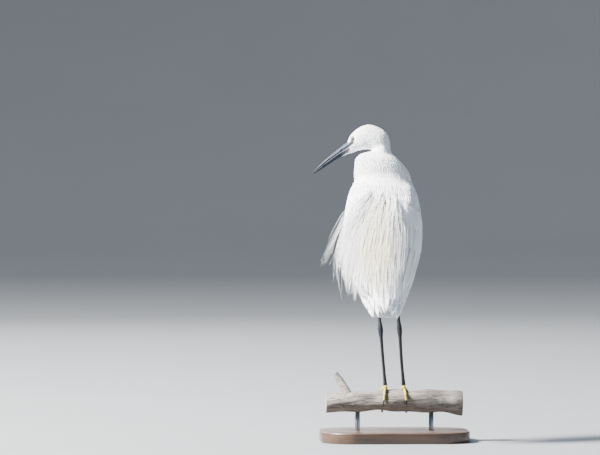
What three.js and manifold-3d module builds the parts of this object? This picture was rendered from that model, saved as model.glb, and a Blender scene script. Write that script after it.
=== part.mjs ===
// A little egret at rest on a short length of dead branch, life size, on a plain display stand.
// Millimetres. +Z is up, the bird's body faces -Y and its left is +X. The origin is under the middle of the stand.
// The neck is drawn in and the head is turned to the left, so that the bill points past the left shoulder.
import * as THREE from "three";
import { mergeVertices } from "three/addons/utils/BufferGeometryUtils.js";
import Module from "manifold-3d";

const wasm = await Module();
wasm.setup();

// Driving sizes
const GAP = 0.3;
const BASE = { long: 250, deep: 180, thick: 18, corner: 60, bevel: 2 };
const PERCH = { top: 86, radius: 18, long: 230, bend: 10, sag: 5 };
const ROD = { radius: 4, spread: 62 };
const FOOT_SPREAD = 15.5;
const HIP = { left: 17, spread: 16 };
const BODY_LEFT = 15;
const TAIL_LEFT = 21;
const NECK_AT = { left: 18.6, forward: 78 };
const HEAD_TURN = 75;
const BILL_LONG = 83.4;
const EYE_RADIUS = 4.4;

const RAD = Math.PI / 180;
const { lerp, smoothstep } = THREE.MathUtils;

// A place on the bird, measured from the top of the perch between the feet.
const at = (left, forward, up) => new THREE.Vector3(left, -forward, PERCH.top + up);

// A number that runs smoothly through [place, value] keys.
function track(keys) {
  const slope = keys.map((key, i) => {
    const before = keys[Math.max(i - 1, 0)];
    const after = keys[Math.min(i + 1, keys.length - 1)];
    return (after[1] - before[1]) / (after[0] - before[0]);
  });
  return (place) => {
    const last = keys.length - 2;
    const i = Math.min(Math.max(keys.findIndex((key) => key[0] > place) - 1, 0), last);
    const k = place >= keys[last + 1][0] ? last : i;
    const span = keys[k + 1][0] - keys[k][0];
    const s = Math.min(Math.max((place - keys[k][0]) / span, 0), 1);
    const [a, b] = [keys[k][1], keys[k + 1][1]];
    const [ma, mb] = [slope[k] * span, slope[k + 1] * span];
    return a + s * (ma + s * (3 * (b - a) - 2 * ma - mb + s * (2 * (a - b) + ma + mb)));
  };
}

// A repeatable random number from 0 to 1.
function dice(seed) {
  let state = seed;
  return () => {
    state = (state * 16807) % 2147483647;
    return state / 2147483647;
  };
}

// A closed geometry through rings of points. A pole closes an end on one point; without it the end is flat.
// On a plate, whose four-point rings run round a thin section, both faces are split into triangles alike.
function skin(rings, { startPole, endPole, plate = false } = {}) {
  const sides = rings[0].length;
  const points = rings.flat();
  const faces = [];
  for (let i = 0; i + 1 < rings.length; i++)
    for (let j = 0; j < sides; j++) {
      const [a, b] = [i * sides + j, i * sides + ((j + 1) % sides)];
      const [d, c] = [a + sides, b + sides];
      if (plate && j === 2) faces.push([a, b, d], [b, c, d]);
      else faces.push([a, b, c], [a, c, d]);
    }
  const close = (first, pole, turned) => {
    const face = (a, b, c) => faces.push(turned ? [a, b, c] : [c, b, a]);
    if (pole) points.push(pole);
    for (let j = pole ? 0 : 1; j < (pole ? sides : sides - 1); j++)
      face(first + j, first + ((j + 1) % sides), pole ? points.length - 1 : first);
  };
  close(0, startPole, false);
  close((rings.length - 1) * sides, endPole, true);
  const geometry = new THREE.BufferGeometry().setFromPoints(points);
  return geometry.setIndex(faces.flat());
}

// A closed geometry as a solid, its faces turned out.
function solidOf(geometry) {
  const bare = new THREE.BufferGeometry();
  bare.setAttribute("position", geometry.getAttribute("position"));
  if (geometry.index) bare.setIndex(geometry.index);
  const merged = mergeVertices(bare, 1e-4);
  const make = (triVerts) =>
    new wasm.Manifold(
      new wasm.Mesh({ numProp: 3, vertProperties: merged.attributes.position.array, triVerts }),
    );
  const indices = new Uint32Array(merged.index.array);
  const solid = make(indices);
  return solid.volume() > 0 ? solid : make(indices.reverse());
}

const skinned = (rings, ends) => solidOf(skin(rings, ends));
const joined = (solids) => wasm.Manifold.union(solids);

// The largest closed surface of a solid, on its own.
function largest(solid) {
  return solid.decompose().sort((a, b) => b.volume() - a.volume())[0];
}

// A ring of points round a centre, on two half axes.
function oval(centre, across, up, sides) {
  return Array.from({ length: sides }, (_, j) => {
    const turn = (2 * Math.PI * j) / sides;
    return centre.clone().addScaledVector(across, Math.sin(turn)).addScaledVector(up, Math.cos(turn));
  });
}

// A round limb along a curve, its radius a function of the share of the way along.
function limb(points, radius, { steps = 8, sides = 8, squeeze = 1, round = true } = {}) {
  const curve = new THREE.CatmullRomCurve3(points);
  const rings = [];
  for (let i = 0; i <= steps; i++) {
    const share = i / steps;
    const ahead = curve.getTangentAt(share);
    const across = new THREE.Vector3(1, 0, 0).addScaledVector(ahead, -ahead.x).normalize();
    const up = across.clone().cross(ahead);
    const size = radius(share);
    rings.push(oval(curve.getPointAt(share), across.multiplyScalar(size * squeeze), up.multiplyScalar(size), sides));
  }
  if (!round) return skinned(rings);
  const startPole = curve.getPointAt(0).addScaledVector(curve.getTangentAt(0), -0.5 * radius(0));
  const endPole = curve.getPointAt(1).addScaledVector(curve.getTangentAt(1), 0.5 * radius(1));
  return skinned(rings, { startPole, endPole });
}

// A flat tapered vane. path(s) gives a point and the way the face looks, from the root at 0 to the tip at 1.
function vane(path, { width, thick = 0.8, tilt = 0, steps = 4, margin = 0 }) {
  const rings = [];
  for (let i = 0; i <= steps; i++) {
    const s = i / steps;
    const { point, face } = path(s);
    const ahead = path(Math.min(s + 0.01, 1)).point.sub(path(Math.max(s - 0.01, 0)).point).normalize();
    const side = ahead.clone().cross(face).normalize().applyAxisAngle(ahead, tilt);
    const out = side.clone().cross(ahead);
    const half = width(s) / 2 + margin;
    const deep = (thick / 2) * (1 - 0.35 * s) + margin;
    rings.push(
      [[half, deep], [-half, deep], [-half, -deep], [half, -deep]].map(([a, b]) =>
        point.clone().addScaledVector(side, a).addScaledVector(out, b),
      ),
    );
  }
  return skinned(rings, { plate: true });
}

// The body's own surface, as a line from the shoulders (0) to the tip of the tail (1) with its sizes round it.
const spine = new THREE.CatmullRomCurve3([
  at(BODY_LEFT, 78, 362),
  at(lerp(BODY_LEFT, TAIL_LEFT, 0.3), 52, 316),
  at(lerp(BODY_LEFT, TAIL_LEFT, 0.6), 18, 262),
  at(lerp(BODY_LEFT, TAIL_LEFT, 0.8), -18, 212),
  at(TAIL_LEFT, -54, 168),
  at(TAIL_LEFT, -92, 122),
]);
const bodySide = track([[0, 37], [0.05, 49], [0.1, 54], [0.2, 59], [0.31, 61], [0.475, 60], [0.59, 55], [0.72, 46], [0.82, 38], [0.915, 30], [1, 23]]);
const bodyBack = track([[0, 27], [0.1, 39], [0.2, 46], [0.35, 48], [0.5, 46], [0.65, 38], [0.8, 26], [0.9, 17], [1, 12]]);
const bodyBelly = track([[0, 30], [0.1, 47], [0.25, 58], [0.45, 57], [0.6, 46], [0.75, 30], [0.85, 18], [1, 10]]);
const TORSO_END = 0.86;

// A point over the body's surface: how far down the body, degrees round from the back to the left, height over it.
function overBody(down, round, height) {
  const share = Math.min(Math.max(down, 0), 1);
  const along = spine.getTangentAt(share);
  const left = new THREE.Vector3(1, 0, 0).addScaledVector(along, -along.x).normalize();
  const back = left.clone().cross(along);
  const [sin, cos] = [Math.sin(round * RAD), Math.cos(round * RAD)];
  const deep = cos > 0 ? bodyBack(share) : bodyBelly(share);
  return spine
    .getPointAt(share)
    .addScaledVector(along, (down - share) * spine.getLength())
    .addScaledVector(left, (bodySide(share) + height) * sin)
    .addScaledVector(back, (deep + height) * cos);
}

// A path over the body for a feather, with its place, its turn round the body and its height as functions of s.
const featherPath = (down, round, height) => (s) => {
  const point = overBody(down(s), round(s), height(s));
  return { point, face: overBody(down(s), round(s), height(s) + 2).sub(point).normalize() };
};

// Head and neck are one run of sections in the head's own upright plane. reach and rise place each one in that
// plane, lean tips it towards the bill, high and wide are its half sizes, and near moves it to the head's left.
const turn = HEAD_TURN * RAD;
const towardsBill = new THREE.Vector3(Math.sin(turn), -Math.cos(turn), 0);
const towardsLeft = new THREE.Vector3(0, 0, 1).cross(towardsBill);
const HEAD_SECTIONS = [
  { reach: 54.1, rise: 406.8, lean: 27, high: 10.6, wide: 6.6, near: 0 },
  { reach: 46.4, rise: 414.5, lean: 27, high: 15.2, wide: 10.6, near: 0 },
  { reach: 35, rise: 421.2, lean: 18, high: 19, wide: 15, near: 0 },
  { reach: 22, rise: 424.6, lean: 6, high: 21.4, wide: 17.6, near: 0 },
  { reach: 11.3, rise: 422.2, lean: -17, high: 20.8, wide: 18.2, near: 0 },
  { reach: 3.2, rise: 416.5, lean: -41, high: 19.6, wide: 18, near: 0 },
  { reach: 0.6, rise: 407.5, lean: -64, high: 18, wide: 17.6, near: 0 },
  { reach: 7, rise: 398.5, lean: -86, high: 25, wide: 23, near: 3 },
  { reach: 7, rise: 389, lean: -90, high: 36, wide: 32, near: 4 },
  { reach: 2.5, rise: 377, lean: -90, high: 43.5, wide: 38, near: 3 },
  { reach: -2, rise: 361, lean: -90, high: 50, wide: 41, near: 0 },
  { reach: -3, rise: 344, lean: -90, high: 49, wide: 40, near: -3 },
  { reach: -3, rise: 326, lean: -90, high: 41, wide: 35, near: -7 },
  { reach: -3, rise: 307, lean: -90, high: 30, wide: 26, near: -9 },
  { reach: -3, rise: 288, lean: -90, high: 17, wide: 13, near: -11 },
];
const NECK_CUT = { reach: 17.2, rise: 403.6, slope: -0.32 };
const headTrack = Object.fromEntries(
  Object.keys(HEAD_SECTIONS[0]).map((field) => [field, track(HEAD_SECTIONS.map((section, i) => [i, section[field]]))]),
);

// A place in the head's plane, or to the head's left of it.
function onHead(reach, rise, near = 0) {
  return at(NECK_AT.left, NECK_AT.forward, rise).addScaledVector(towardsBill, reach).addScaledVector(towardsLeft, near);
}

// The flesh of head and neck, grown by a margin.
function headAndNeck(margin) {
  const rings = [];
  const place = (step) => onHead(headTrack.reach(step), headTrack.rise(step), headTrack.near(step));
  for (let step = 0; step <= HEAD_SECTIONS.length - 1; step += 0.6) {
    const lean = headTrack.lean(step) * RAD;
    const up = towardsBill.clone().multiplyScalar(Math.sin(lean));
    up.z = Math.cos(lean);
    const across = towardsLeft.clone().multiplyScalar(headTrack.wide(step) + margin);
    rings.push(oval(place(step), across, up.multiplyScalar(headTrack.high(step) + margin), 16));
  }
  const startPole = place(0).addScaledVector(towardsBill, 6 + margin);
  startPole.z -= 4;
  const endPole = place(HEAD_SECTIONS.length - 1);
  endPole.z -= 12;
  return skinned(rings, { startPole, endPole });
}

// The torso without its plumes, grown by a margin.
function torsoCore(margin) {
  const rings = [];
  const sides = 20;
  const places = [0, 0.03, 0.07, 0.13, 0.21, 0.3, 0.4, 0.5, 0.6, 0.69, 0.77, 0.83, TORSO_END];
  for (const place of places)
    rings.push(Array.from({ length: sides }, (_, j) => overBody(place, (360 * j) / sides, margin)));
  const startPole = spine.getPointAt(0).addScaledVector(spine.getTangentAt(0), -10 - margin);
  const endPole = spine.getPointAt(TORSO_END).addScaledVector(spine.getTangentAt(TORSO_END), 6 + margin);
  return skinned(rings, { startPole, endPole });
}

// Long plumes of the back, in layers that fan out from between the wings and hang over them, most to the left.
const PLUMES = { wide: 5, root: [0.27, 0.43], rootSpread: 21, layers: [10, 11.8, 13.6], count: [12, 11, 9] };
function backPlumes(margin = 0) {
  const roll = dice(71);
  return PLUMES.layers.flatMap((lie, layer) => {
    const count = PLUMES.count[layer];
    return Array.from({ length: count }, (_, k) => {
      const share = k / (count - 1);
      const root = lerp(PLUMES.root[1], PLUMES.root[0], layer / 2) - 0.05 * Math.abs(share - 0.4) + 0.02 * roll();
      const from = lerp(-PLUMES.rootSpread, PLUMES.rootSpread, share);
      const to = lerp(-34, 98, share ** 1.15);
      const tip = root + 0.5 + 0.06 * roll() - 0.16 * Math.max(share - 0.5, 0);
      const loose = 13 * smoothstep(share, 0.45, 1) + 3 * roll();
      return vane(
        featherPath(
          (s) => lerp(root, tip, s),
          (s) => from + (to - from) * s ** 1.1,
          (s) => lerp(-5, lie + 1.5 * share, smoothstep(s, 0, 0.2)) + loose * Math.max(s - 0.55, 0) ** 2 * 4,
        ),
        { width: (s) => PLUMES.wide * (1 - 0.86 * s ** 1.6), thick: 1, steps: 6, margin },
      );
    });
  });
}

// A few longer plumes that cross the left wing and blow free of it. Each ends at left, forward, up.
const STRAYS = [
  { root: 0.29, lift: 15.4, edge: 0.42, end: [122, -12, 204] },
  { root: 0.32, lift: 16.2, edge: 0.5, end: [101, -34, 172] },
  { root: 0.35, lift: 17, edge: 0.58, end: [80, -56, 152] },
];
function strayPlumes(margin = 0) {
  return STRAYS.map(({ root, lift, edge, end }) => {
    const line = new THREE.CatmullRomCurve3([
      overBody(root, 17, -4),
      overBody(root + 0.03, 30, lift),
      overBody(lerp(root, edge, 0.55), 56, lift),
      overBody(edge, 80, lift),
      at(...end),
    ]);
    const path = (s) => {
      const point = line.getPoint(s);
      return { point, face: point.clone().sub(spine.getPointAt(lerp(root, edge, s))).normalize() };
    };
    return vane(path, { width: (s) => 4.2 * (1 - 0.86 * s ** 1.4), thick: 1, steps: 9, margin });
  });
}

// Wings. Each is a plate that wraps the flank, with tiers of vanes rooted in it, the under ones first. In a tier,
// root and tip give [down, round] of its lowest vane and of the one nearest the back.
const WING_PLATE = { start: 0.045, end: 0.66, thick: 4.4 };
const wingTop = track([[0.045, 66], [0.12, 42], [0.25, 29], [0.5, 23], [0.8, 17]]);
const wingLow = track([[0.045, 84], [0.12, 112], [0.25, 122], [0.5, 117], [0.7, 100], [0.8, 88]]);
const WING_TIERS = [
  { count: 5, root: [[0.52, 96], [0.56, 60]], tip: [[0.86, 84], [0.985, 34]], width: 16, lie: 1.6 },
  { count: 6, root: [[0.42, 106], [0.5, 32]], tip: [[0.74, 94], [0.965, 17]], width: 19, lie: 3.7 },
  { count: 3, root: [[0.34, 70], [0.38, 36]], tip: [[0.66, 56], [0.86, 18]], width: 21, lie: 5.6 },
  { count: 6, root: [[0.27, 110], [0.24, 38]], tip: [[0.5, 108], [0.53, 30]], width: 21, lie: 6.6 },
  { count: 5, root: [[0.13, 102], [0.12, 48]], tip: [[0.32, 110], [0.33, 34]], width: 21, lie: 7.6 },
];
const WING_TILT = 7 * RAD;

function wingPlate(side) {
  const [steps, columns] = [8, 5];
  const rings = [];
  for (let i = 0; i <= steps; i++) {
    const down = lerp(WING_PLATE.start, WING_PLATE.end, i / steps);
    const row = (height) =>
      Array.from({ length: columns + 1 }, (_, j) => {
        const share = j / columns;
        const crown = Math.sin(Math.PI * share) ** 0.6;
        const round = lerp(wingTop(down), wingLow(down), share);
        return overBody(down, side * round, height(crown));
      });
    const rise = (WING_PLATE.thick - 1.2) * smoothstep(i, -1, 2) * (1 - smoothstep(down, 0.34, 0.66));
    const outer = row((crown) => GAP + 1.2 + rise * crown);
    const inner = row(() => -1.5);
    rings.push([...outer, ...inner.reverse()]);
  }
  return stitched(rings, columns + 1);
}

// A thick plate from rings whose first half is the outer face and second half the inner one, split alike.
function stitched(rings, half) {
  const sides = 2 * half;
  const faces = [];
  const end = rings.length - 1;
  for (let i = 0; i < end; i++)
    for (let j = 0; j < sides; j++) {
      const [a, b] = [i * sides + j, i * sides + ((j + 1) % sides)];
      const [d, c] = [a + sides, b + sides];
      if (j >= half) faces.push([a, b, d], [b, c, d]);
      else faces.push([a, b, c], [a, c, d]);
    }
  for (let j = 0; j + 1 < half; j++) {
    const [a, b, c, d] = [j, j + 1, sides - 2 - j, sides - 1 - j];
    const shift = end * sides;
    faces.push([c, b, a], [d, c, a], [a + shift, b + shift, c + shift], [a + shift, c + shift, d + shift]);
  }
  return solidOf(new THREE.BufferGeometry().setFromPoints(rings.flat()).setIndex(faces.flat()));
}

function wingVanes(side) {
  return WING_TIERS.flatMap(({ count, root, tip, width, lie }) =>
    Array.from({ length: count }, (_, k) => {
      const share = k / (count - 1);
      const [down0, round0] = [lerp(root[0][0], root[1][0], share), lerp(root[0][1], root[1][1], share)];
      const [down1, round1] = [lerp(tip[0][0], tip[1][0], share), lerp(tip[0][1], tip[1][1], share)];
      return vane(
        featherPath(
          (s) => lerp(down0, down1, s),
          (s) => side * lerp(round0, round1, s ** 0.9),
          (s) => lerp(1.6, lie, smoothstep(s, 0, 0.4)),
        ),
        { width: (s) => width * (0.75 + 0.25 * smoothstep(s, 0, 0.4)) * (1 - 0.68 * s ** 5), thick: 0.65, tilt: side * WING_TILT, steps: 3 },
      );
    }),
  );
}

// Everything of the body and neck that a wing has to keep clear of.
const wingRoom = joined([torsoCore(GAP), headAndNeck(GAP), ...backPlumes(GAP), ...strayPlumes(GAP)]);
const wing = (side) => largest(joined([wingPlate(side), ...wingVanes(side)]).subtract(wingRoom));

// The tail: a short root under the rump and its quills, fanned a little, the middle ones on top.
const TAIL = { count: 10, spread: 12, fan: 9, wide: 13, root: 0.87, tip: 1.0 };
function tail() {
  const ahead = spine.getTangentAt(TAIL.root);
  const left = new THREE.Vector3(1, 0, 0).addScaledVector(ahead, -ahead.x).normalize();
  const back = left.clone().cross(ahead);
  const long = (TAIL.tip - TAIL.root) * spine.getLength();
  const spot = (along, across, over) =>
    spine.getPointAt(TAIL.root).addScaledVector(ahead, along).addScaledVector(left, across).addScaledVector(back, over);
  const root = [-18, -6, 6, 14].map((along, i) =>
    oval(spot(along, 0, 0), left.clone().multiplyScalar([13, 17, 16, 12][i]), back.clone().multiplyScalar([7, 7, 5, 3][i]), 12),
  );
  const quills = Array.from({ length: TAIL.count }, (_, k) => {
    const share = (2 * k) / (TAIL.count - 1) - 1;
    const over = 4.6 * (1 - Math.abs(share)) - 2.4 + 0.35 * Math.sign(share);
    const path = (s) => ({
      point: spot(lerp(7, long - 5 * share ** 2, s), lerp(TAIL.spread, TAIL.spread + TAIL.fan, s) * share, over * lerp(0.4, 1, s)),
      face: back,
    });
    return vane(path, { width: (s) => TAIL.wide * (1 - 0.6 * s ** 6), thick: 0.7 });
  });
  return largest(joined([skinned(root), ...quills]).subtract(torsoCore(GAP)));
}

// Long plumes at the foot of the foreneck, hanging over the breast.
const BREAST_PLUMES = { count: 9, spread: 24, long: 0.26 };
function breastPlumes() {
  const roll = dice(23);
  return Array.from({ length: BREAST_PLUMES.count }, (_, k) => {
    const share = (2 * k) / (BREAST_PLUMES.count - 1) - 1;
    const long = BREAST_PLUMES.long * (0.8 + 0.2 * roll() - 0.25 * share ** 2);
    return vane(
      featherPath(
        (s) => 0.02 + long * s,
        (s) => 180 + BREAST_PLUMES.spread * share * (1 - 0.45 * s),
        (s) => lerp(3, 4 + 1.5 * (k % 2), s) + 5 * s * s,
      ),
      { width: (s) => 7 * (1 - 0.86 * s ** 1.5), thick: 1.1, steps: 5 },
    );
  });
}

const cutNormal = towardsBill.clone().multiplyScalar(-NECK_CUT.slope).add(new THREE.Vector3(0, 0, 1)).normalize();
const cutOffset = cutNormal.dot(onHead(NECK_CUT.reach, NECK_CUT.rise));
const downNormal = cutNormal.clone().negate();

function neck() {
  const flesh = headAndNeck(0).trimByPlane(downNormal.toArray(), GAP / 2 - cutOffset);
  const cut = largest(flesh.subtract(torsoCore(GAP)));
  return largest(joined([cut, ...breastPlumes().map((plume) => plume.subtract(torsoCore(GAP)))]));
}

// Eyes and lids stand on both sides of the head. side is 1 on the head's left.
const EYE = { reach: 46.5, rise: 421.6, near: 7.2 };
const eyeCentre = (side) => onHead(EYE.reach, EYE.rise, side * EYE.near);
const eyeBall = (side, margin = 0) => solidOf(placed(new THREE.SphereGeometry(EYE_RADIUS + margin, 12, 8), side));

// Turns a geometry so that its +Z looks out of the eye socket, and puts it there.
function placed(geometry, side) {
  const out = towardsLeft.clone().multiplyScalar(side).addScaledVector(towardsBill, 0.18);
  out.z += 0.12;
  const facing = new THREE.Quaternion().setFromUnitVectors(new THREE.Vector3(0, 0, 1), out.normalize());
  const centre = eyeCentre(side);
  return geometry.clone().applyQuaternion(facing).translate(centre.x, centre.y, centre.z);
}

// The feathered chin, which runs forward under the bill.
const chin = (margin) =>
  limb([onHead(38, 411), onHead(53, 402), onHead(69, 392)], (s) => lerp(7, 1.8, s) + margin, { steps: 4, sides: 10 });

function head() {
  const lid = (side) => solidOf(placed(new THREE.TorusGeometry(3.9, 0.9, 6, 16).translate(0, 0, 2.6), side));
  const gape = (side) => {
    const slit = new THREE.BoxGeometry(14, 0.6, 3).applyMatrix4(
      new THREE.Matrix4().makeBasis(towardsBill, new THREE.Vector3(0, 0, 1), towardsLeft),
    );
    const centre = onHead(51, 408, side * 10.2);
    return solidOf(slit.translate(centre.x, centre.y, centre.z));
  };
  const flesh = headAndNeck(0).trimByPlane(cutNormal.toArray(), cutOffset + GAP / 2);
  const lidded = joined([largest(flesh), chin(0), lid(1), lid(-1)]);
  return largest(lidded.subtract(joined([eyeBall(1, GAP), eyeBall(-1, GAP), gape(1), gape(-1)])));
}

// The bill, in two halves that meet along the line of the mouth. s runs from the face (0) to the tip (1).
const BILL = { reach: 52, rise: 409.7, pitch: -35.5, arch: 1.7 };
const billTop = track([[0, 9], [0.2, 7.7], [0.45, 6.1], [0.7, 4.6], [0.88, 2.8], [1, 0.7]]);
const billUnder = track([[0, 8.2], [0.2, 7], [0.45, 5.6], [0.7, 4.2], [0.88, 2.5], [1, 0.5]]);
const billSide = track([[0, 6.4], [0.2, 5.2], [0.45, 4], [0.7, 2.9], [0.88, 1.8], [1, 0.6]]);
function billHalf(up) {
  const pitch = BILL.pitch * RAD;
  const ahead = towardsBill.clone().multiplyScalar(Math.cos(pitch));
  ahead.z = Math.sin(pitch);
  const over = towardsLeft.clone().cross(ahead).multiplyScalar(-up);
  const edge = (GAP / 2) * 1.1;
  const start = onHead(BILL.reach, BILL.rise);
  const steps = 9;
  const rings = Array.from({ length: steps + 1 }, (_, i) => {
    const s = i / steps;
    const high = (up > 0 ? billTop : billUnder)(s);
    const wide = billSide(s);
    const arch = 4 * BILL.arch * up * s * (1 - s);
    const centre = start.clone().addScaledVector(ahead, s * BILL_LONG).addScaledVector(over, arch);
    const corners = [[-0.8, edge], [-1, 0.25 * high], [-0.72, 0.7 * high], [-0.2, high], [0.2, high], [0.72, 0.7 * high], [1, 0.25 * high], [0.8, edge]];
    return corners.map(([across, rise]) =>
      centre.clone().addScaledVector(towardsLeft, across * wide).addScaledVector(over, Math.max(rise, edge)),
    );
  });
  const whole = skinned(rings).subtract(headAndNeck(GAP).add(chin(GAP)));
  if (up < 0) return largest(whole);
  const nostril = (side) => {
    const slot = new THREE.BoxGeometry(7, 1.1, 2.4).applyMatrix4(new THREE.Matrix4().makeBasis(ahead, over, towardsLeft));
    const centre = start.clone().addScaledVector(ahead, 17).addScaledVector(over, 4.2).addScaledVector(towardsLeft, side * 5.2);
    return solidOf(slot.translate(centre.x, centre.y, centre.z));
  };
  return largest(whole.subtract(joined([nostril(1), nostril(-1)])));
}

// The perch. A point over its bark: how far to the left, degrees round from the top to the front, height over it.
function overPerch(left, round, height) {
  const share = left / (PERCH.long / 2);
  const knots = 1 + 0.05 * Math.sin(3 * round * RAD + left * 0.06) + 0.05 * Math.sin(left * 0.11 + 1.3);
  const reach = PERCH.radius * (1 - 0.12 * share) * knots + height;
  const [forward, up] = [PERCH.bend * share ** 2, -PERCH.radius - PERCH.sag * share ** 2];
  return at(left, forward + reach * Math.sin(round * RAD), up + reach * Math.cos(round * RAD));
}

function perchCore(margin) {
  const [steps, sides] = [13, 16];
  const rings = Array.from({ length: steps + 1 }, (_, i) =>
    Array.from({ length: sides }, (_, j) => overPerch((PERCH.long + 2 * margin) * (i / steps - 0.5), (360 * j) / sides, margin)),
  );
  return skinned(rings);
}

function perch() {
  const stub = limb([overPerch(76, 20, -10), overPerch(84, 28, 12), overPerch(98, 24, 36)], (s) => lerp(8.5, 5, s), {
    steps: 5,
    sides: 10,
    round: false,
  });
  return largest(joined([perchCore(0), stub]));
}

// Legs, bare from above the ankle to the toes. side is 1 on the bird's left.
const ankle = (side) => at(side * (FOOT_SPREAD + 0.5) + 8.5, -14, 104);
const shin = (side) => at(HIP.left + side * HIP.spread - 3, 5, 163);
const legRadius = track([[0, 3], [0.3, 2.9], [0.4, 4.4], [0.47, 3], [0.9, 2.7], [1, 3.6]]);
function leg(side, margin = 0) {
  const line = [shin(side), ankle(side), at(side * FOOT_SPREAD + 4, -6, 50), at(side * FOOT_SPREAD, 0, 8.2)];
  return limb(line, (s) => legRadius(s) + margin, { steps: 14 });
}

function thigh(side) {
  const top = at(HIP.left + side * (HIP.spread + 6), 16, 218);
  const rings = limb([top, at(HIP.left + side * (HIP.spread + 1), 12, 190), shin(side)], (s) => lerp(21, 6, s ** 0.8), { steps: 6, sides: 12 });
  return largest(rings.subtract(torsoCore(GAP)).subtract(leg(side, GAP)));
}

// Feet. Three toes fold over the front of the perch and one over its back.
const TOE_RADIUS = 2.3;
const TOES = [
  { name: "outer", splay: 24, long: 50, from: 6 },
  { name: "middle", splay: 5, long: 56, from: 6 },
  { name: "inner", splay: -13, long: 44, from: 6 },
  { name: "hind", splay: 6, long: -30, from: -4 },
];
const CLAW_LONG = 12;

// The middle of a toe, so many millimetres out from the foot's centre along the bark.
function toePoint(side, toe, out, lift = 0) {
  const splay = toe.splay * RAD;
  const left = side * (FOOT_SPREAD + Math.abs(out) * Math.sin(splay));
  const round = (out * Math.cos(splay)) / (PERCH.radius + TOE_RADIUS) / RAD;
  return overPerch(left, round, TOE_RADIUS + 0.75 + lift);
}

function toeRun(side, toe, from, to, radius, steps) {
  const points = Array.from({ length: steps + 1 }, (_, i) => toePoint(side, toe, lerp(from, to, i / steps), radius(i / steps) - TOE_RADIUS));
  return limb(points, radius, { steps, sides: 6, round: false });
}

// Parts a toe from its claw by a plane across its end, on the foot's side (-1) or the claw's (1).
function atToeEnd(solid, side, toe, part) {
  const way = Math.sign(toe.long) * part;
  const end = toePoint(side, toe, toe.long);
  const ahead = toePoint(side, toe, toe.long + 0.5).sub(toePoint(side, toe, toe.long - 0.5)).normalize().multiplyScalar(way);
  return solid.trimByPlane(ahead.toArray(), ahead.dot(end) + GAP / 2);
}

function foot(side) {
  const palm = limb([at(side * FOOT_SPREAD, -5, 4.4), at(side * FOOT_SPREAD, 6, 4.2)], () => 3.4, { steps: 3, sides: 8 });
  const socket = limb([at(side * FOOT_SPREAD, 0, 4), at(side * FOOT_SPREAD, 0, 9)], () => 3.2, { steps: 2, sides: 8, round: false });
  const toes = TOES.map((toe) => {
    const pads = (s) => TOE_RADIUS * (1 - 0.18 * s + 0.1 * Math.cos(s * Math.PI * 6));
    return atToeEnd(toeRun(side, toe, 0, toe.long + Math.sign(toe.long), pads, 9), side, toe, -1);
  });
  const solid = joined([palm, socket, ...toes]).subtract(perchCore(GAP));
  return largest(solid.subtract(leg(side, GAP)));
}

function claw(side, toe) {
  const way = Math.sign(toe.long);
  const run = toeRun(side, toe, toe.long - way, toe.long + way * CLAW_LONG, (s) => lerp(1.6, 0.35, s), 4);
  return atToeEnd(run, side, toe, 1);
}

// The stand
function standBase() {
  const [w, h, r] = [BASE.long / 2 - BASE.bevel, BASE.deep / 2 - BASE.bevel, BASE.corner];
  const outline = new THREE.Shape();
  outline.moveTo(-w + r, -h);
  outline.lineTo(w - r, -h);
  outline.absarc(w - r, -h + r, r, -Math.PI / 2, 0);
  outline.absarc(w - r, h - r, r, 0, Math.PI / 2);
  outline.absarc(-w + r, h - r, r, Math.PI / 2, Math.PI);
  outline.absarc(-w + r, -h + r, r, Math.PI, 1.5 * Math.PI);
  const plate = new THREE.ExtrudeGeometry(outline, {
    depth: BASE.thick - 2 * BASE.bevel,
    bevelThickness: BASE.bevel,
    bevelSize: BASE.bevel,
    bevelSegments: 1,
    curveSegments: 6,
  });
  return solidOf(plate.translate(0, 0, BASE.bevel));
}

function standRod(side) {
  const [bottom, top] = [BASE.thick + GAP, PERCH.top - PERCH.radius];
  const rod = new THREE.CylinderGeometry(ROD.radius, ROD.radius, top - bottom, 16).rotateX(Math.PI / 2);
  const centre = overPerch(side * ROD.spread, 0, 0);
  rod.translate(centre.x, centre.y, (top + bottom) / 2);
  return largest(solidOf(rod).subtract(perchCore(GAP)));
}

// Finishes
const finish = (color, roughness) => new THREE.MeshStandardMaterial({ color, roughness, metalness: 0, flatShading: true });
const PLUMAGE = finish(0xf4f5f7, 0.75);
const BILL_BLACK = finish(0x20242e, 0.35);
const BILL_PALE = finish(0x5b5f6e, 0.4);
const LEG_BLACK = finish(0x15161a, 0.5);
const TOE_YELLOW = finish(0xc9a92c, 0.55);
const CLAW_BLACK = finish(0x1a1817, 0.35);
const IRIS = finish(0xd8d9a8, 0.1);
const DEAD_WOOD = finish(0x8d857c, 0.9);
const STAND_WOOD = finish(0x4a3526, 0.45);
const STEEL = new THREE.MeshStandardMaterial({ color: 0x8c8f93, roughness: 0.35, metalness: 1 });

const egret = new THREE.Group();
function add(name, solid, material) {
  const { vertProperties, triVerts, numProp, numVert } = solid.getMesh();
  const position = new Float32Array(numVert * 3);
  for (let i = 0; i < numVert; i++) position.set(vertProperties.subarray(i * numProp, i * numProp + 3), 3 * i);
  const geometry = new THREE.BufferGeometry();
  geometry.setAttribute("position", new THREE.BufferAttribute(position, 3));
  geometry.setIndex(new THREE.BufferAttribute(new Uint32Array(triVerts), 1));
  const mesh = new THREE.Mesh(geometry, material);
  mesh.name = name;
  egret.add(mesh);
}

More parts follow.
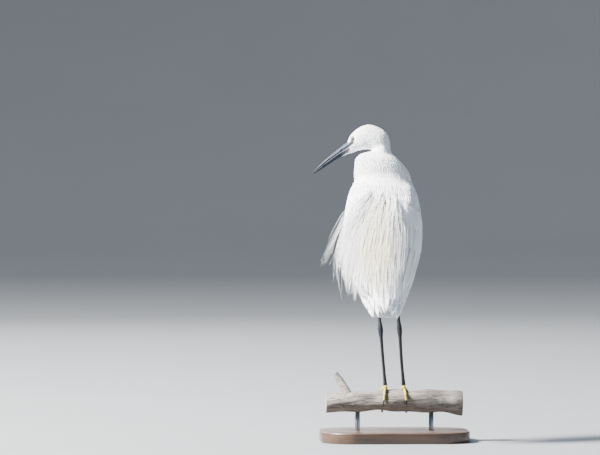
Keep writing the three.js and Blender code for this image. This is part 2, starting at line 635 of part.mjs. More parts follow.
add("torso", largest(joined([torsoCore(0), ...backPlumes(), ...strayPlumes()])), PLUMAGE);
add("neck", neck(), PLUMAGE);
add("head", head(), PLUMAGE);
add("tail", tail(), PLUMAGE);
add("bill_upper", billHalf(1), BILL_BLACK);
add("bill_lower", billHalf(-1), BILL_PALE);
add("perch", perch(), DEAD_WOOD);
add("stand_base", standBase(), STAND_WOOD);
for (const [hand, side] of [["left", 1], ["right", -1]]) {
  add(`wing_${hand}`, wing(side), PLUMAGE);
  add(`eye_${hand}`, eyeBall(side), IRIS);
  add(`thigh_${hand}`, thigh(side), PLUMAGE);
  add(`leg_${hand}`, leg(side), LEG_BLACK);
  add(`foot_${hand}`, foot(side), TOE_YELLOW);
  for (const toe of TOES) add(`claw_${hand}_${toe.name}`, claw(side, toe), CLAW_BLACK);
  add(`stand_rod_${hand}`, standRod(side), STEEL);
}

export default egret;
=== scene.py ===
"""A little egret at rest on a short length of dead branch, life size, on a plain display stand.

Sizes are in millimetres in the row frame until a mesh is made: +Z up, the bird faces -Y, its left is +X.
"""

import logging
import math
from collections.abc import Callable
from dataclasses import dataclass, field
from enum import Enum

import bmesh
import bpy
import numpy as np
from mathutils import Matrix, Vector, noise


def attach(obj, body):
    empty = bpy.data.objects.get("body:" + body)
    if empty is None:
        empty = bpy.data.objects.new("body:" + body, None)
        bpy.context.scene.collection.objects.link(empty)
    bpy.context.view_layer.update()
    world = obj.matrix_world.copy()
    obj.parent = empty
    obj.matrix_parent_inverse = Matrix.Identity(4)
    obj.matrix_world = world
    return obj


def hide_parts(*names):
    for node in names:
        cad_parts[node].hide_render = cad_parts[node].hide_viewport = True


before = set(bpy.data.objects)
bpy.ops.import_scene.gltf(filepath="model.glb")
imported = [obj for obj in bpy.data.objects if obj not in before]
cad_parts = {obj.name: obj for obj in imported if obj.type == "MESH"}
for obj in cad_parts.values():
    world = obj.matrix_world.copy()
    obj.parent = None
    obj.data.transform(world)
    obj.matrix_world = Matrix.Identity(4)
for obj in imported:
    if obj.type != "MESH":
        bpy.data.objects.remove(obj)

log = logging.getLogger("egret")
MM = 0.001
PERCH_TOP = 86.0
PERCH_RADIUS = 18.0
UP = np.array([0, 0, 1.0])
Array = np.ndarray
Object = bpy.types.Object
Material = bpy.types.Material
Mesh = bpy.types.Mesh
Node = bpy.types.Node
Tree = bpy.types.NodeTree
Socket = bpy.types.NodeSocket
Draw = np.random.Generator
Colour = tuple[float, float, float, float]
Inputs = dict[str | int, object]


def at(left: float, forward: float, up: float) -> Array:
    """A place on the bird, measured from the top of the perch between the feet."""
    return np.array([left, -forward, PERCH_TOP + up], float)


def unit(v: Array) -> Array:
    """The vectors in the last axis of v, each one long."""
    return v / np.maximum(np.linalg.norm(v, axis=-1, keepdims=True), 1e-9)


def ease(x: Array, low: float, high: float) -> Array:
    """A smooth step from 0 at low to 1 at high."""
    t = np.clip((np.asarray(x, float) - low) / (high - low), 0.0, 1.0)
    return t * t * (3.0 - 2.0 * t)


def mix(a: Array, b: Array, t: Array) -> Array:
    """The value a share t of the way from a to b."""
    return a + (b - a) * t


def round_of(count: int, full: float = 2 * np.pi) -> Array:
    """Angles evenly round a full turn."""
    return np.linspace(0, full, count + 1)[:-1]


class Track:
    """A number that runs smoothly through (place, value) keys."""

    def __init__(self, keys: list[tuple[float, float]]) -> None:
        """Keeps the keys and the slope at each.

        Args:
            keys: pairs of place and value, in rising order of place.
        """
        self.place, self.value = np.array(keys, float).T
        index = np.arange(len(keys))
        low, high = np.maximum(index - 1, 0), np.minimum(index + 1, len(keys) - 1)
        self.slope = (self.value[high] - self.value[low]) / (self.place[high] - self.place[low])

    def __call__(self, place: Array) -> Array:
        """Reads the track.

        Args:
            place: where to read it; the first and last value hold past the ends.

        Returns:
            The value at each place.
        """
        place = np.asarray(place, float)
        i = np.clip(np.searchsorted(self.place, place, side="right") - 1, 0, len(self.place) - 2)
        span = self.place[i + 1] - self.place[i]
        s = np.clip((place - self.place[i]) / span, 0.0, 1.0)
        a, b = self.value[i], self.value[i + 1]
        ma, mb = self.slope[i] * span, self.slope[i + 1] * span
        return a + s * (ma + s * (3 * (b - a) - 2 * ma - mb + s * (2 * (a - b) + ma + mb)))


class Line:
    """A smooth line through points, read by the share of its length."""

    def __init__(self, points: list[Array], samples: int = 400) -> None:
        """Samples a centripetal spline through the points.

        Args:
            points: the points it runs through, in millimetres.
            samples: how many places are kept along it.
        """
        p = np.array(points, float)
        p = np.vstack([2 * p[0] - p[1], p, 2 * p[-1] - p[-2]])
        share = np.linspace(0, len(points) - 1, samples)
        i = np.minimum(share.astype(int), len(points) - 2)
        w = (share - i)[:, None]
        p0, p1, p2, p3 = p[i], p[i + 1], p[i + 2], p[i + 3]
        steps = ((p0, p1), (p1, p2), (p2, p3))
        d0, d1, d2 = (np.sqrt(np.linalg.norm(b - a, axis=1))[:, None] for a, b in steps)
        t1 = ((p1 - p0) / d0 - (p2 - p0) / (d0 + d1) + (p2 - p1) / d1) * d1
        t2 = ((p2 - p1) / d1 - (p3 - p1) / (d1 + d2) + (p3 - p2) / d2) * d1
        bend = -3 * p1 + 3 * p2 - 2 * t1 - t2 + w * (2 * p1 - 2 * p2 + t1 + t2)
        self.points = p1 + w * (t1 + w * bend)
        run = np.concatenate([[0], np.cumsum(np.linalg.norm(np.diff(self.points, axis=0), axis=1))])
        self.length = float(run[-1])
        self.share = run / self.length
        self.ahead = unit(np.gradient(self.points, self.share, axis=0))

    def at(self, share: Array) -> Array:
        """Points at shares of the length."""
        return np.stack([np.interp(share, self.share, self.points[:, k]) for k in range(3)], axis=-1)

    def way(self, share: Array) -> Array:
        """Directions at shares of the length."""
        return unit(np.stack([np.interp(share, self.share, self.ahead[:, k]) for k in range(3)], axis=-1))


def across_of(ahead: Array) -> tuple[Array, Array]:
    """Finds two directions square to others.

    Args:
        ahead: the directions to start from.

    Returns:
        One square to each and as near +X as can be, and the one above it.
    """
    x = np.zeros_like(ahead)
    x[..., 0] = 1.0
    side = unit(x - ahead * ahead[..., :1])
    return side, np.cross(side, ahead)


class Hand(Enum):
    """Left and right, as the bird has them."""

    LEFT = 1
    RIGHT = -1

    @property
    def word(self) -> str:
        """The word used in names."""
        return self.name.lower()


@dataclass
class BirdForm:
    """The bird's surfaces, as functions of places along and round them."""

    body_left: float = 15.0
    tail_left: float = 21.0
    neck_left: float = 18.6
    neck_forward: float = 78.0
    head_turn: float = 75.0
    torso_end: float = 0.86
    side: Track = field(default_factory=lambda: Track([
        (0, 37), (0.05, 49), (0.1, 54), (0.2, 59), (0.31, 61), (0.475, 60), (0.59, 55), (0.72, 46),
        (0.82, 38), (0.915, 30), (1, 23)]))
    back: Track = field(default_factory=lambda: Track([
        (0, 27), (0.1, 39), (0.2, 46), (0.35, 48), (0.5, 46), (0.65, 38), (0.8, 26), (0.9, 17), (1, 12)]))
    belly: Track = field(default_factory=lambda: Track([
        (0, 30), (0.1, 47), (0.25, 58), (0.45, 57), (0.6, 46), (0.75, 30), (0.85, 18), (1, 10)]))
    sections: tuple[tuple[float, ...], ...] = (
        (54.1, 406.8, 27, 10.6, 6.6, 0), (46.4, 414.5, 27, 15.2, 10.6, 0), (35, 421.2, 18, 19, 15, 0),
        (22, 424.6, 6, 21.4, 17.6, 0), (11.3, 422.2, -17, 20.8, 18.2, 0), (3.2, 416.5, -41, 19.6, 18, 0),
        (0.6, 407.5, -64, 18, 17.6, 0), (7, 398.5, -86, 25, 23, 3), (7, 389, -90, 36, 32, 4),
        (2.5, 377, -90, 43.5, 38, 3), (-2, 361, -90, 50, 41, 0), (-3, 344, -90, 49, 40, -3),
        (-3, 326, -90, 41, 35, -7), (-3, 307, -90, 30, 26, -9), (-3, 288, -90, 17, 13, -11))

    def __post_init__(self) -> None:
        """Works out the spine, the head's directions and its tracks."""
        b, t = self.body_left, self.tail_left
        self.spine = Line([at(b, 78, 362), at(mix(b, t, 0.3), 52, 316), at(mix(b, t, 0.6), 18, 262),
                           at(mix(b, t, 0.8), -18, 212), at(t, -54, 168), at(t, -92, 122)])
        turn = math.radians(self.head_turn)
        self.to_bill = np.array([math.sin(turn), -math.cos(turn), 0.0])
        self.to_left = np.cross(UP, self.to_bill)
        names = ("reach", "rise", "lean", "high", "wide", "near")
        self.head = {n: Track([(i, s[k]) for i, s in enumerate(self.sections)]) for k, n in enumerate(names)}
        self.steps = len(self.sections) - 1

    def on_head(self, reach: Array, rise: Array, near: Array = 0.0) -> Array:
        """Places on the head.

        Args:
            reach: millimetres from the neck toward the bill.
            rise: millimetres above the perch.
            near: millimetres to the head's left.

        Returns:
            The points, in millimetres.
        """
        reach, rise, near = np.broadcast_arrays(np.asarray(reach, float), rise, near)
        base = at(self.neck_left, self.neck_forward, 0) + reach[..., None] * self.to_bill
        return base + near[..., None] * self.to_left + rise[..., None] * UP

    def upward(self, step: Array) -> Array:
        """The way to the top of the head's sections."""
        lean = np.radians(self.head["lean"](step))[..., None]
        return np.sin(lean) * self.to_bill + np.cos(lean) * UP

    def over_body(self, down: Array, round_: Array, height: Array) -> Array:
        """Points over the body.

        Args:
            down: share of the way from the shoulders to the tip of the tail.
            round_: degrees round from the middle of the back to the left.
            height: millimetres over the surface.

        Returns:
            The points, in millimetres.
        """
        down, round_, height = np.broadcast_arrays(np.asarray(down, float), round_, height)
        share = np.clip(down, 0.0, 1.0)
        ahead = self.spine.way(share)
        left, back = across_of(ahead)
        sin, cos = np.sin(np.radians(round_)), np.cos(np.radians(round_))
        deep = np.where(cos > 0, self.back(share), self.belly(share))
        return (self.spine.at(share) + ((down - share) * self.spine.length)[..., None] * ahead
                + ((self.side(share) + height) * sin)[..., None] * left
                + ((deep + height) * cos)[..., None] * back)

    def over_head(self, step: Array, angle: Array, height: Array) -> Array:
        """Points over the head and neck.

        Args:
            step: the section, from 0 at the bill.
            angle: degrees round from its top to the left.
            height: millimetres over the surface.

        Returns:
            The points, in millimetres.
        """
        step, angle, height = np.broadcast_arrays(np.asarray(step, float), angle, height)
        sin, cos = np.sin(np.radians(angle)), np.cos(np.radians(angle))
        centre = self.on_head(self.head["reach"](step), self.head["rise"](step), self.head["near"](step))
        return (centre + ((self.head["wide"](step) + height) * sin)[..., None] * self.to_left
                + ((self.head["high"](step) + height) * cos)[..., None] * self.upward(step))


FORM = BirdForm()


def body_root(down: Array, round_: Array) -> Array:
    """Where a place on the body lies on the unwrapped skin."""
    wrapped = (np.asarray(round_, float) + 180.0) % 360.0
    return np.stack([0.02 + 0.45 * wrapped / 360.0, 0.02 + 0.94 * np.clip(down, 0, 1.1) / 1.1], axis=-1)


def head_root(step: Array, angle: Array) -> Array:
    """Where a place on the head or neck lies on the unwrapped skin."""
    wrapped = (np.asarray(angle, float) + 180.0) % 360.0
    return np.stack([0.52 + 0.45 * wrapped / 360.0, 0.02 + 0.94 * np.clip(step, 0, 14) / 14], axis=-1)


def read(items: bpy.types.bpy_prop_collection, key: str, wide: int = 1) -> Array:
    """Reads one property of every item.

    Args:
        items: such as a mesh's vertices.
        key: the property.
        wide: how many numbers it has.

    Returns:
        The numbers, with a second axis where wide is over 1.
    """
    values = np.zeros(len(items) * wide, np.int32 if key.startswith("vert") else np.float32)
    items.foreach_get(key, values)
    return values.reshape(-1, wide) if wide > 1 else values


def mark(mesh: Mesh, name: str, values: Array, kind: str = "FLOAT") -> None:
    """Keeps a number, or a vector, at each vertex under a name, in place of any that it had."""
    kept = mesh.attributes.get(name) or mesh.attributes.new(name, kind, "POINT")
    kept.data.foreach_set("value" if kind == "FLOAT" else "vector", np.asarray(values, np.float32).ravel())


def link(name: str, data: bpy.types.ID) -> Object:
    """Makes an object of a mesh, light or camera.

    Args:
        name: the object's name.
        data: what it shows.

    Returns:
        The object, linked to the scene.
    """
    made = bpy.data.objects.new(name, data)
    bpy.context.scene.collection.objects.link(made)
    return made


def piece(name: str, points: Array, faces: Array, material: Material, marks: dict[str, Array]) -> Object:
    """Makes a smooth mesh object from arrays.

    Args:
        name: the object's name.
        points: vertices in millimetres.
        faces: triangles.
        material: its finish.
        marks: numbers at each vertex; where root_u is one of them, the piece gets its OFBake map.

    Returns:
        The new object, linked to the scene.
    """
    mesh = bpy.data.meshes.new(name)
    mesh.vertices.add(len(points))
    mesh.vertices.foreach_set("co", (points * MM).astype(np.float32).ravel())
    mesh.loops.add(len(faces) * 3)
    mesh.loops.foreach_set("vertex_index", faces.astype(np.int32).ravel())
    mesh.polygons.add(len(faces))
    mesh.polygons.foreach_set("loop_start", np.arange(0, len(faces) * 3, 3, dtype=np.int32))
    mesh.polygons.foreach_set("use_smooth", np.ones(len(faces), bool))
    mesh.update(calc_edges=True)
    for key, values in marks.items():
        mark(mesh, key, values)
    mesh.materials.append(material)
    if "root_u" in marks:
        lay_patches(mesh)
    return link(name, mesh)


def lay_map(mesh: Mesh, places: Array) -> None:
    """Gives a mesh its OFBake map from a place for each vertex."""
    corners = places[read(mesh.loops, "vertex_index")]
    mesh.uv_layers.new(name="OFBake").data.foreach_set("uv", corners.astype(np.float32).ravel())


def lay_patches(mesh: Mesh, patch: float = 0.003) -> None:
    """Maps a coat mesh: each feather is a small patch at its root's place on the unwrapped skin.

    Args:
        mesh: a mesh with root_u, root_v, along and across at its vertices.
        patch: how far one feather spreads over the map.
    """
    names = ("root_u", "root_v", "along", "across")
    u, v, along, across = (read(mesh.attributes[name].data, "value") for name in names)
    lay_map(mesh, np.clip(np.stack([u + patch * across, v + patch * along], axis=1), 0.0, 1.0))


def keep(made: Object, slot: str, *nodes: str) -> None:
    """Sets a finished piece on the stand's one body.

    Args:
        made: the piece.
        slot: a name for the piece's finish; not used.
        nodes: the solids it stands for.
    """
    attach(made, "root")
    if nodes:
        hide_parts(*nodes)
    log.info("%s: %d faces", made.name, len(made.data.polygons))


class Bundle:
    """Closed tubes gathered into one mesh. Pieces added together have the same rings and points."""

    def __init__(self) -> None:
        """Starts with nothing in it."""
        self.points: list[Array] = []
        self.faces: list[Array] = []
        names = ("along", "across", "tone", "root_u", "root_v")
        self.marks: dict[str, list[Array]] = {name: [] for name in names}
        self.count = 0

    def add(self, rings: Array, across: Array | float = 0.0, tone: Array | float = 0.0,
            root: Array | float = 0.0) -> None:
        """Adds pieces.

        Args:
            rings: points shaped (pieces, rings, round, 3), in millimetres, rings from root to tip.
            across: where each point of a ring lies across the piece, from 0 to 1.
            tone: one number a piece, for its shade.
            root: the place of each piece's root on the unwrapped skin, shaped (pieces, 2).
        """
        n, s, k, _ = rings.shape
        i, j = np.arange(s - 1)[None, :, None] * k, np.arange(k)[None, None, :]
        base = self.count + (np.arange(n) * s * k)[:, None, None]
        a, b = base + i + j, base + i + (j + 1) % k
        quads = np.stack([a, b, b + k, a + k], axis=-1).reshape(-1, 4)
        centre = rings.mean(axis=2)
        spoke = rings[:, s // 2] - centre[:, s // 2, None]
        area = np.cross(spoke, np.roll(spoke, -1, axis=1)).sum(axis=1)
        forward = centre[:, min(s // 2 + 1, s - 1)] - centre[:, s // 2 - 1]
        outward = np.einsum("nc,nc->n", area, forward) > 0
        flip = np.repeat(~outward, (s - 1) * k)
        quads[flip] = quads[flip][:, ::-1]
        self.faces.append(np.vstack([quads[:, [0, 1, 2]], quads[:, [0, 2, 3]]]))
        fan = np.arange(1, k - 1)
        for first, turned in ((0, True), ((s - 1) * k, False)):
            start = (self.count + np.arange(n) * s * k + first)[:, None]
            tri = np.stack([np.repeat(start, k - 2, axis=1), start + fan, start + fan + 1], axis=-1)
            turn = outward == turned
            tri[turn] = tri[turn][..., ::-1]
            self.faces.append(tri.reshape(-1, 3))
        self.points.append(rings.reshape(-1, 3))
        roots = np.broadcast_to(root, (n, 2)).T[..., None, None]
        values = (np.linspace(0, 1, s)[:, None], across, np.reshape(tone, (-1, 1, 1)), *roots)
        for kept, value in zip(self.marks.values(), values):
            kept.append(np.broadcast_to(value, (n, s, k)).ravel())
        self.count += n * s * k

    def mesh(self, name: str, material: Material, marks: tuple[str, ...] | None = None) -> Object:
        """Makes one object of everything added.

        Args:
            name: the piece's name.
            material: its finish.
            marks: which numbers it keeps at its vertices, or None for all.

        Returns:
            The new object, linked to the scene.
        """
        names = self.marks if marks is None else marks
        kept = {key: np.concatenate(self.marks[key]) for key in names}
        return piece(name, np.vstack(self.points), np.vstack(self.faces), material, kept)


def solid(name: str, material: Material, *runs: Array, across: Array | float = 0.0) -> Object:
    """Makes a closed piece that isn't coat.

    Args:
        name: the piece's name.
        material: its finish.
        runs: the rings of each of its parts, shaped (rings, round, 3).
        across: where each point of a ring lies across the piece.

    Returns:
        The new object, linked to the scene.
    """
    bundle = Bundle()
    for rings in runs:
        bundle.add(rings[None], across)
    return bundle.mesh(name, material, ("along", "across", "tone"))


def domed(rings: Array, start: float, end: float) -> Array:
    """Rounds off both ends of a run of rings.

    Args:
        rings: points shaped (rings, round, 3).
        start: how far the first end bulges out, in millimetres.
        end: how far the last end does.

    Returns:
        The rings with smaller ones added at each end.
    """
    first, last = rings[0].mean(0), rings[-1].mean(0)
    head_way, tail_way = unit(first - rings[1].mean(0)), unit(last - rings[-2].mean(0))
    caps = [(0.03, 1.0), (0.35, 0.92), (0.66, 0.72), (0.88, 0.42)]
    opening = [first + (rings[0] - first) * size + head_way * start * reach for size, reach in caps]
    closing = [last + (rings[-1] - last) * size + tail_way * end * reach for size, reach in reversed(caps)]
    return np.stack([*opening, *rings, *closing])


def limb(points: list[Array], radius: Callable[[Array], Array], steps: int, sides: int) -> Array:
    """Rings round a smooth line.

    Args:
        points: what the line runs through, in millimetres.
        radius: gives the radius for shares of the way along.
        steps: how many lengths the line is cut into.
        sides: how many points go round.

    Returns:
        Points shaped (rings, round, 3).
    """
    line = Line(points)
    share = np.linspace(0, 1, steps + 1)
    side, up = across_of(line.way(share))
    turn = round_of(sides)
    size = np.asarray(radius(share), float)[:, None, None]
    return (line.at(share)[:, None] + size * np.sin(turn)[None, :, None] * side[:, None]
            + size * np.cos(turn)[None, :, None] * up[:, None])


def vane_rings(points: Array, face: Array, width: Array, thick: Array, tilt: Array, camber: float) -> Array:
    """Rings round flat vanes.

    Args:
        points: the shafts, shaped (pieces, rings, 3).
        face: which way the upper face looks, shaped like points.
        width: full width at each ring, one run for all or one for each piece.
        thick: full thickness, as width is given or one number.
        tilt: how far each piece rolls about its shaft, in radians, shaped (pieces,).
        camber: how far the edges drop, as a share of the width.

    Returns:
        Points shaped (pieces, rings, 8, 3).
    """
    ahead = unit(np.gradient(points, axis=1))
    side = unit(np.cross(ahead, face))
    out = np.cross(side, ahead)
    c, s = np.cos(tilt)[:, None, None], np.sin(tilt)[:, None, None]
    side, out = side * c + out * s, out * c - side * s
    x = np.array([-1, -0.55, 0, 0.55, 1, 0.55, 0, -0.55]) * 0.5
    y = np.array([0, 0.42, 0.5, 0.42, 0, -0.42, -0.5, -0.42])
    drop = -camber * (2 * x) ** 2
    w, h = (np.asarray(size, float)[..., None, None] for size in (width, thick))
    high = h * y[:, None] + w * drop[:, None]
    return points[:, :, None] + side[:, :, None] * w * x[:, None] + out[:, :, None] * high


VANE_ACROSS = np.array([0, 0.22, 0.5, 0.78, 1, 0.78, 0.5, 0.22])


class Nodes:
    """A short way to build a node tree."""

    def __init__(self, tree: Tree) -> None:
        """Keeps the tree.

        Args:
            tree: the tree that nodes are added to.
        """
        self.tree = tree

    def add(self, kind: str, inputs: Inputs | None = None, **settings: object) -> Node:
        """Adds a node.

        Args:
            kind: the node's type name.
            inputs: a value or an output socket for each named or numbered input.
            settings: the node's own properties.

        Returns:
            The node.
        """
        node = self.tree.nodes.new(kind)
        for key, value in settings.items():
            setattr(node, key, value)
        self.feed(node, inputs or {})
        return node

    def feed(self, node: Node, inputs: Inputs) -> None:
        """Gives a node's inputs their values or links.

        Args:
            node: the node.
            inputs: a value or an output socket for each named or numbered input.
        """
        for key, value in inputs.items():
            if isinstance(value, Socket):
                self.tree.links.new(value, node.inputs[key])
            else:
                node.inputs[key].default_value = value

    def math(self, operation: str, *values: Socket | float, clamp: bool = False) -> Socket:
        """The result of a math node."""
        given = dict(enumerate(values))
        return self.add("ShaderNodeMath", given, operation=operation, use_clamp=clamp).outputs[0]

    def plus(self, a: Socket | float, b: Socket | float, clamp: bool = False) -> Socket:
        """The sum of a and b."""
        return self.math("ADD", a, b, clamp=clamp)

    def less(self, a: Socket | float, b: Socket | float, clamp: bool = False) -> Socket:
        """What is left when b is taken from a."""
        return self.math("SUBTRACT", a, b, clamp=clamp)

    def times(self, a: Socket | float, b: Socket | float, clamp: bool = False) -> Socket:
        """The product of a and b."""
        return self.math("MULTIPLY", a, b, clamp=clamp)

    def over(self, a: Socket | float, b: Socket | float) -> Socket:
        """A share of a in b, from 0 to 1."""
        return self.math("DIVIDE", a, b, clamp=True)

    def blend(self, share: Socket, a: Socket | Colour, b: Socket | Colour) -> Socket:
        """A colour between a and b."""
        return self.add("ShaderNodeMix", {0: share, 6: a, 7: b}, data_type="RGBA").outputs[2]

    def mark(self, name: str) -> Socket:
        """The number that a mesh carries under a name, in a material."""
        return self.add("ShaderNodeAttribute", attribute_name=name).outputs["Fac"]

    def named(self, name: str | Socket, kind: str = "FLOAT") -> Socket:
        """The number or vector that a mesh carries under a name, in a geometry tree."""
        return self.add("GeometryNodeInputNamedAttribute", {"Name": name}, data_type=kind).outputs[0]

    def scaled(self, vector: Socket | tuple[float, float, float], size: Socket) -> Socket:
        """A vector made longer or shorter."""
        return self.add("ShaderNodeVectorMath", {0: vector, "Scale": size}, operation="SCALE").outputs[0]

    def chance(self, low: float, high: float, seed: Socket) -> Socket:
        """A random number for each point."""
        given = {2: low, 3: high, "Seed": seed}
        return self.add("FunctionNodeRandomValue", given, data_type="FLOAT").outputs[1]

    def place(self, stretch: tuple[float, float, float] = (1.0, 1.0, 1.0)) -> Socket:
        """Places on the object, stretched along its axes."""
        here = self.add("ShaderNodeTexCoord").outputs["Object"]
        return self.add("ShaderNodeMapping", {"Vector": here, "Scale": stretch}).outputs[0]

    def noise(self, place: Socket, scale: float, detail: float = 2.0, rough: float = 0.5) -> Socket:
        """Soft noise over places."""
        given = {"Vector": place, "Scale": scale, "Detail": detail, "Roughness": rough}
        return self.add("ShaderNodeTexNoise", given).outputs["Fac"]


def rgb(r: float, g: float, b: float) -> Colour:
    """A solid colour."""
    return (r, g, b, 1.0)


def group(name: str, inputs: dict[str, float],
          outputs: tuple[str, ...]) -> tuple[Nodes, dict[str, Socket], Node]:
    """Starts a shader group.

    Args:
        name: the group's name.
        inputs: its number inputs with their usual values.
        outputs: its number outputs.

    Returns:
        A maker for its nodes, its input sockets by name and its output node.
    """
    tree = bpy.data.node_groups.new(name, "ShaderNodeTree")
    for key, value in inputs.items():
        tree.interface.new_socket(key, in_out="INPUT", socket_type="NodeSocketFloat").default_value = value
    for key in outputs:
        tree.interface.new_socket(key, in_out="OUTPUT", socket_type="NodeSocketFloat")
    make = Nodes(tree)
    source = make.add("NodeGroupInput")
    return make, {key: source.outputs[key] for key in inputs}, make.add("NodeGroupOutput")


def mottle_group() -> Tree:
    """Builds the group for soft and fine unevenness over a surface, as a tone and as a height.

    Returns:
        The group's tree.
    """
    make, given, out = group("mottle", {"Coarse": 60.0, "Fine": 900.0}, ("Tone", "Height"))
    coarse = make.noise(make.place(), given["Coarse"], 4.0)
    fine = make.noise(make.place(), given["Fine"], 3.0)
    for key, share in (("Tone", 0.7), ("Height", 0.4)):
        make.feed(out, {key: make.plus(make.times(coarse, share), make.times(fine, 1.0 - share))})
    return make.tree


def barb_group() -> Tree:
    """Builds the group for the fine slanted barbs and the shaft of a vane, read from its own numbers.

    Returns:
        The group's tree.
    """
    make, given, out = group("barbs", {"Rows": 60.0, "Slant": 0.6, "Shaft": 0.03}, ("Height",))
    off = make.math("ABSOLUTE", make.less(make.mark("across"), 0.5))
    run = make.less(make.mark("along"), make.times(off, given["Slant"]))
    phase = make.plus(make.times(run, given["Rows"]), make.times(make.noise(make.place(), 260.0), 2.0))
    wave = make.math("SINE", make.times(phase, 6.2832))
    shaft = make.less(1.0, make.over(off, given["Shaft"]), True)
    make.feed(out, {"Height": make.plus(make.times(wave, 0.25), make.times(shaft, 1.4))})
    return make.tree


GROUPS = {"mottle": mottle_group, "barbs": barb_group}


class Surface(Nodes):
    """A new material, whose nodes are made first and fed to its shader last."""

    def __init__(self, name: str) -> None:
        """Makes the material.

        Args:
            name: its name.
        """
        self.material = bpy.data.materials.new(name)
        self.material.use_nodes = True
        super().__init__(self.material.node_tree)

    def shared(self, name: str, **values: float) -> Node:
        """Places one of the shared groups, which is made when it is first asked for.

        Args:
            name: the group's name.
            values: its inputs by name.

        Returns:
            The group's node.
        """
        tree = bpy.data.node_groups.get(name) or GROUPS[name]()
        node = self.add("ShaderNodeGroup", node_tree=tree)
        self.feed(node, values)
        return node

    def mottle(self, coarse: float, fine: float) -> tuple[Socket, Socket]:
        """Soft and fine unevenness: its tone and its height."""
        node = self.shared("mottle", Coarse=coarse, Fine=fine)
        return node.outputs["Tone"], node.outputs["Height"]

    def bump(self, height: Socket, strength: float, depth: float) -> Socket:
        """Relief for the shader's normal, depth in metres."""
        given = {"Height": height, "Strength": strength, "Distance": depth}
        return self.add("ShaderNodeBump", given).outputs[0]

    def done(self, inputs: Inputs) -> Material:
        """Feeds the shader and gives the material."""
        self.feed(self.tree.nodes["Principled BSDF"], inputs)
        return self.material


@dataclass(frozen=True)
class FeatherFinish:
    """White feathers. Dim and deep: how far own tone and mottle darken a feather. The root share is painted
    shade that darkens each feather toward its root, where the feathers over it would shade it; the shade
    colour takes both.
    """

    name: str
    white: Colour = rgb(0.93, 0.94, 0.955)
    # the blue-grey that own tone, mottle and the painted root shade darken toward
    shade: Colour = rgb(0.78, 0.81, 0.87)
    cream: Colour = rgb(0.93, 0.86, 0.66)
    warmth: float = 0.0
    rows: float = 40.0
    relief: float = 0.3
    glow: float = 0.35
    dim: float = 0.1
    deep: float = 0.22
    rootward: float = 0.1

    def material(self) -> Material:
        """Builds the finish.

        Returns:
            The material.
        """
        make = Surface(self.name)
        soft = make.times(make.less(make.mottle(45.0, 700.0)[0], 0.35), 0.8, True)
        dark = make.plus(make.times(make.mark("tone"), self.dim), make.times(soft, self.deep), True)
        # painted shade: darker toward each feather's root, standing in for the shade of the feathers that lie
        # over it
        root = make.times(make.less(1.0, make.mark("along")), self.rootward, True)
        colour = make.blend(make.plus(dark, root, True), self.white, self.shade)
        if self.warmth:
            colour = make.blend(make.times(make.mark("warm"), self.warmth, True), colour, self.cream)
        barbs = make.shared("barbs", Rows=self.rows).outputs["Height"]
        return make.done({
            "Base Color": colour, "Roughness": 0.72, "Subsurface Weight": self.glow,
            "Subsurface Radius": (0.006, 0.006, 0.0065), "Sheen Weight": 0.15,
            "Normal": make.bump(barbs, self.relief, 0.0004)})


@dataclass(frozen=True)
class SkinFinish:
    """The skin under the coat: white down, bare grey-green skin before the eye, and the eye's dark rim."""

    name: str = "skin_down"
    down: tuple[Colour, Colour] = (rgb(0.93, 0.94, 0.955), rgb(0.84, 0.86, 0.90))
    bare: tuple[Colour, Colour] = (rgb(0.010, 0.015, 0.019), rgb(0.040, 0.054, 0.060))
    rim: Colour = rgb(0.045, 0.05, 0.055)

    def material(self) -> Material:
        """Builds the finish.

        Returns:
            The material.
        """
        make = Surface(self.name)
        tone, height = make.mottle(160.0, 1400.0)
        bare = make.mark("bare")
        colour = make.blend(bare, make.blend(tone, *self.down), make.blend(tone, *self.bare))
        return make.done({
            "Base Color": make.blend(make.times(make.mark("rim"), 0.92, True), colour, self.rim),
            "Roughness": make.less(0.8, make.times(bare, 0.25)), "Specular IOR Level": 0.2,
            "Subsurface Weight": 0.1, "Subsurface Radius": (0.003, 0.003, 0.003),
            "Normal": make.bump(height, 0.5, 0.0006)})


@dataclass(frozen=True)
class HornFinish:
    """Smooth horn, pale at its base as far as its reach."""

    name: str
    dark: Colour
    pale: Colour
    reach: float = 0.4
    roughness: float = 0.36

    def material(self) -> Material:
        """Builds the finish.

        Returns:
            The material.
        """
        make = Surface(self.name)
        tone, height = make.mottle(120.0, 1500.0)
        base = make.math("POWER", make.less(1.0, make.over(make.mark("along"), self.reach), True), 1.6)
        return make.done({
            "Base Color": make.blend(make.times(base, make.plus(tone, 0.45), True), self.dark, self.pale),
            "Roughness": make.plus(self.roughness, make.times(tone, 0.2)), "Specular IOR Level": 0.13,
            "Coat Weight": 0.03, "Coat Roughness": 0.3, "Normal": make.bump(height, 0.25, 0.0003)})


@dataclass(frozen=True)
class ScaleFinish:
    """Scaled skin of legs and toes: broad rings in front, read from the piece's own along number."""

    name: str
    dark: Colour
    pale: Colour
    rings: float = 40.0

    def material(self) -> Material:
        """Builds the finish.

        Returns:
            The material.
        """
        make = Surface(self.name)
        tone, height = make.mottle(200.0, 1600.0)
        run = make.times(make.mark("along"), self.rings)
        step = make.math("FRACT", make.plus(run, make.times(tone, 0.5)))
        edge = make.math("POWER", step, 5.0)
        shade = make.plus(make.times(tone, 0.7), make.times(edge, 0.4), True)
        return make.done({
            "Base Color": make.blend(shade, self.dark, self.pale),
            "Roughness": make.plus(0.42, make.times(shade, 0.2)), "Specular IOR Level": 0.3,
            "Normal": make.bump(make.less(height, step), 0.6, 0.0004)})


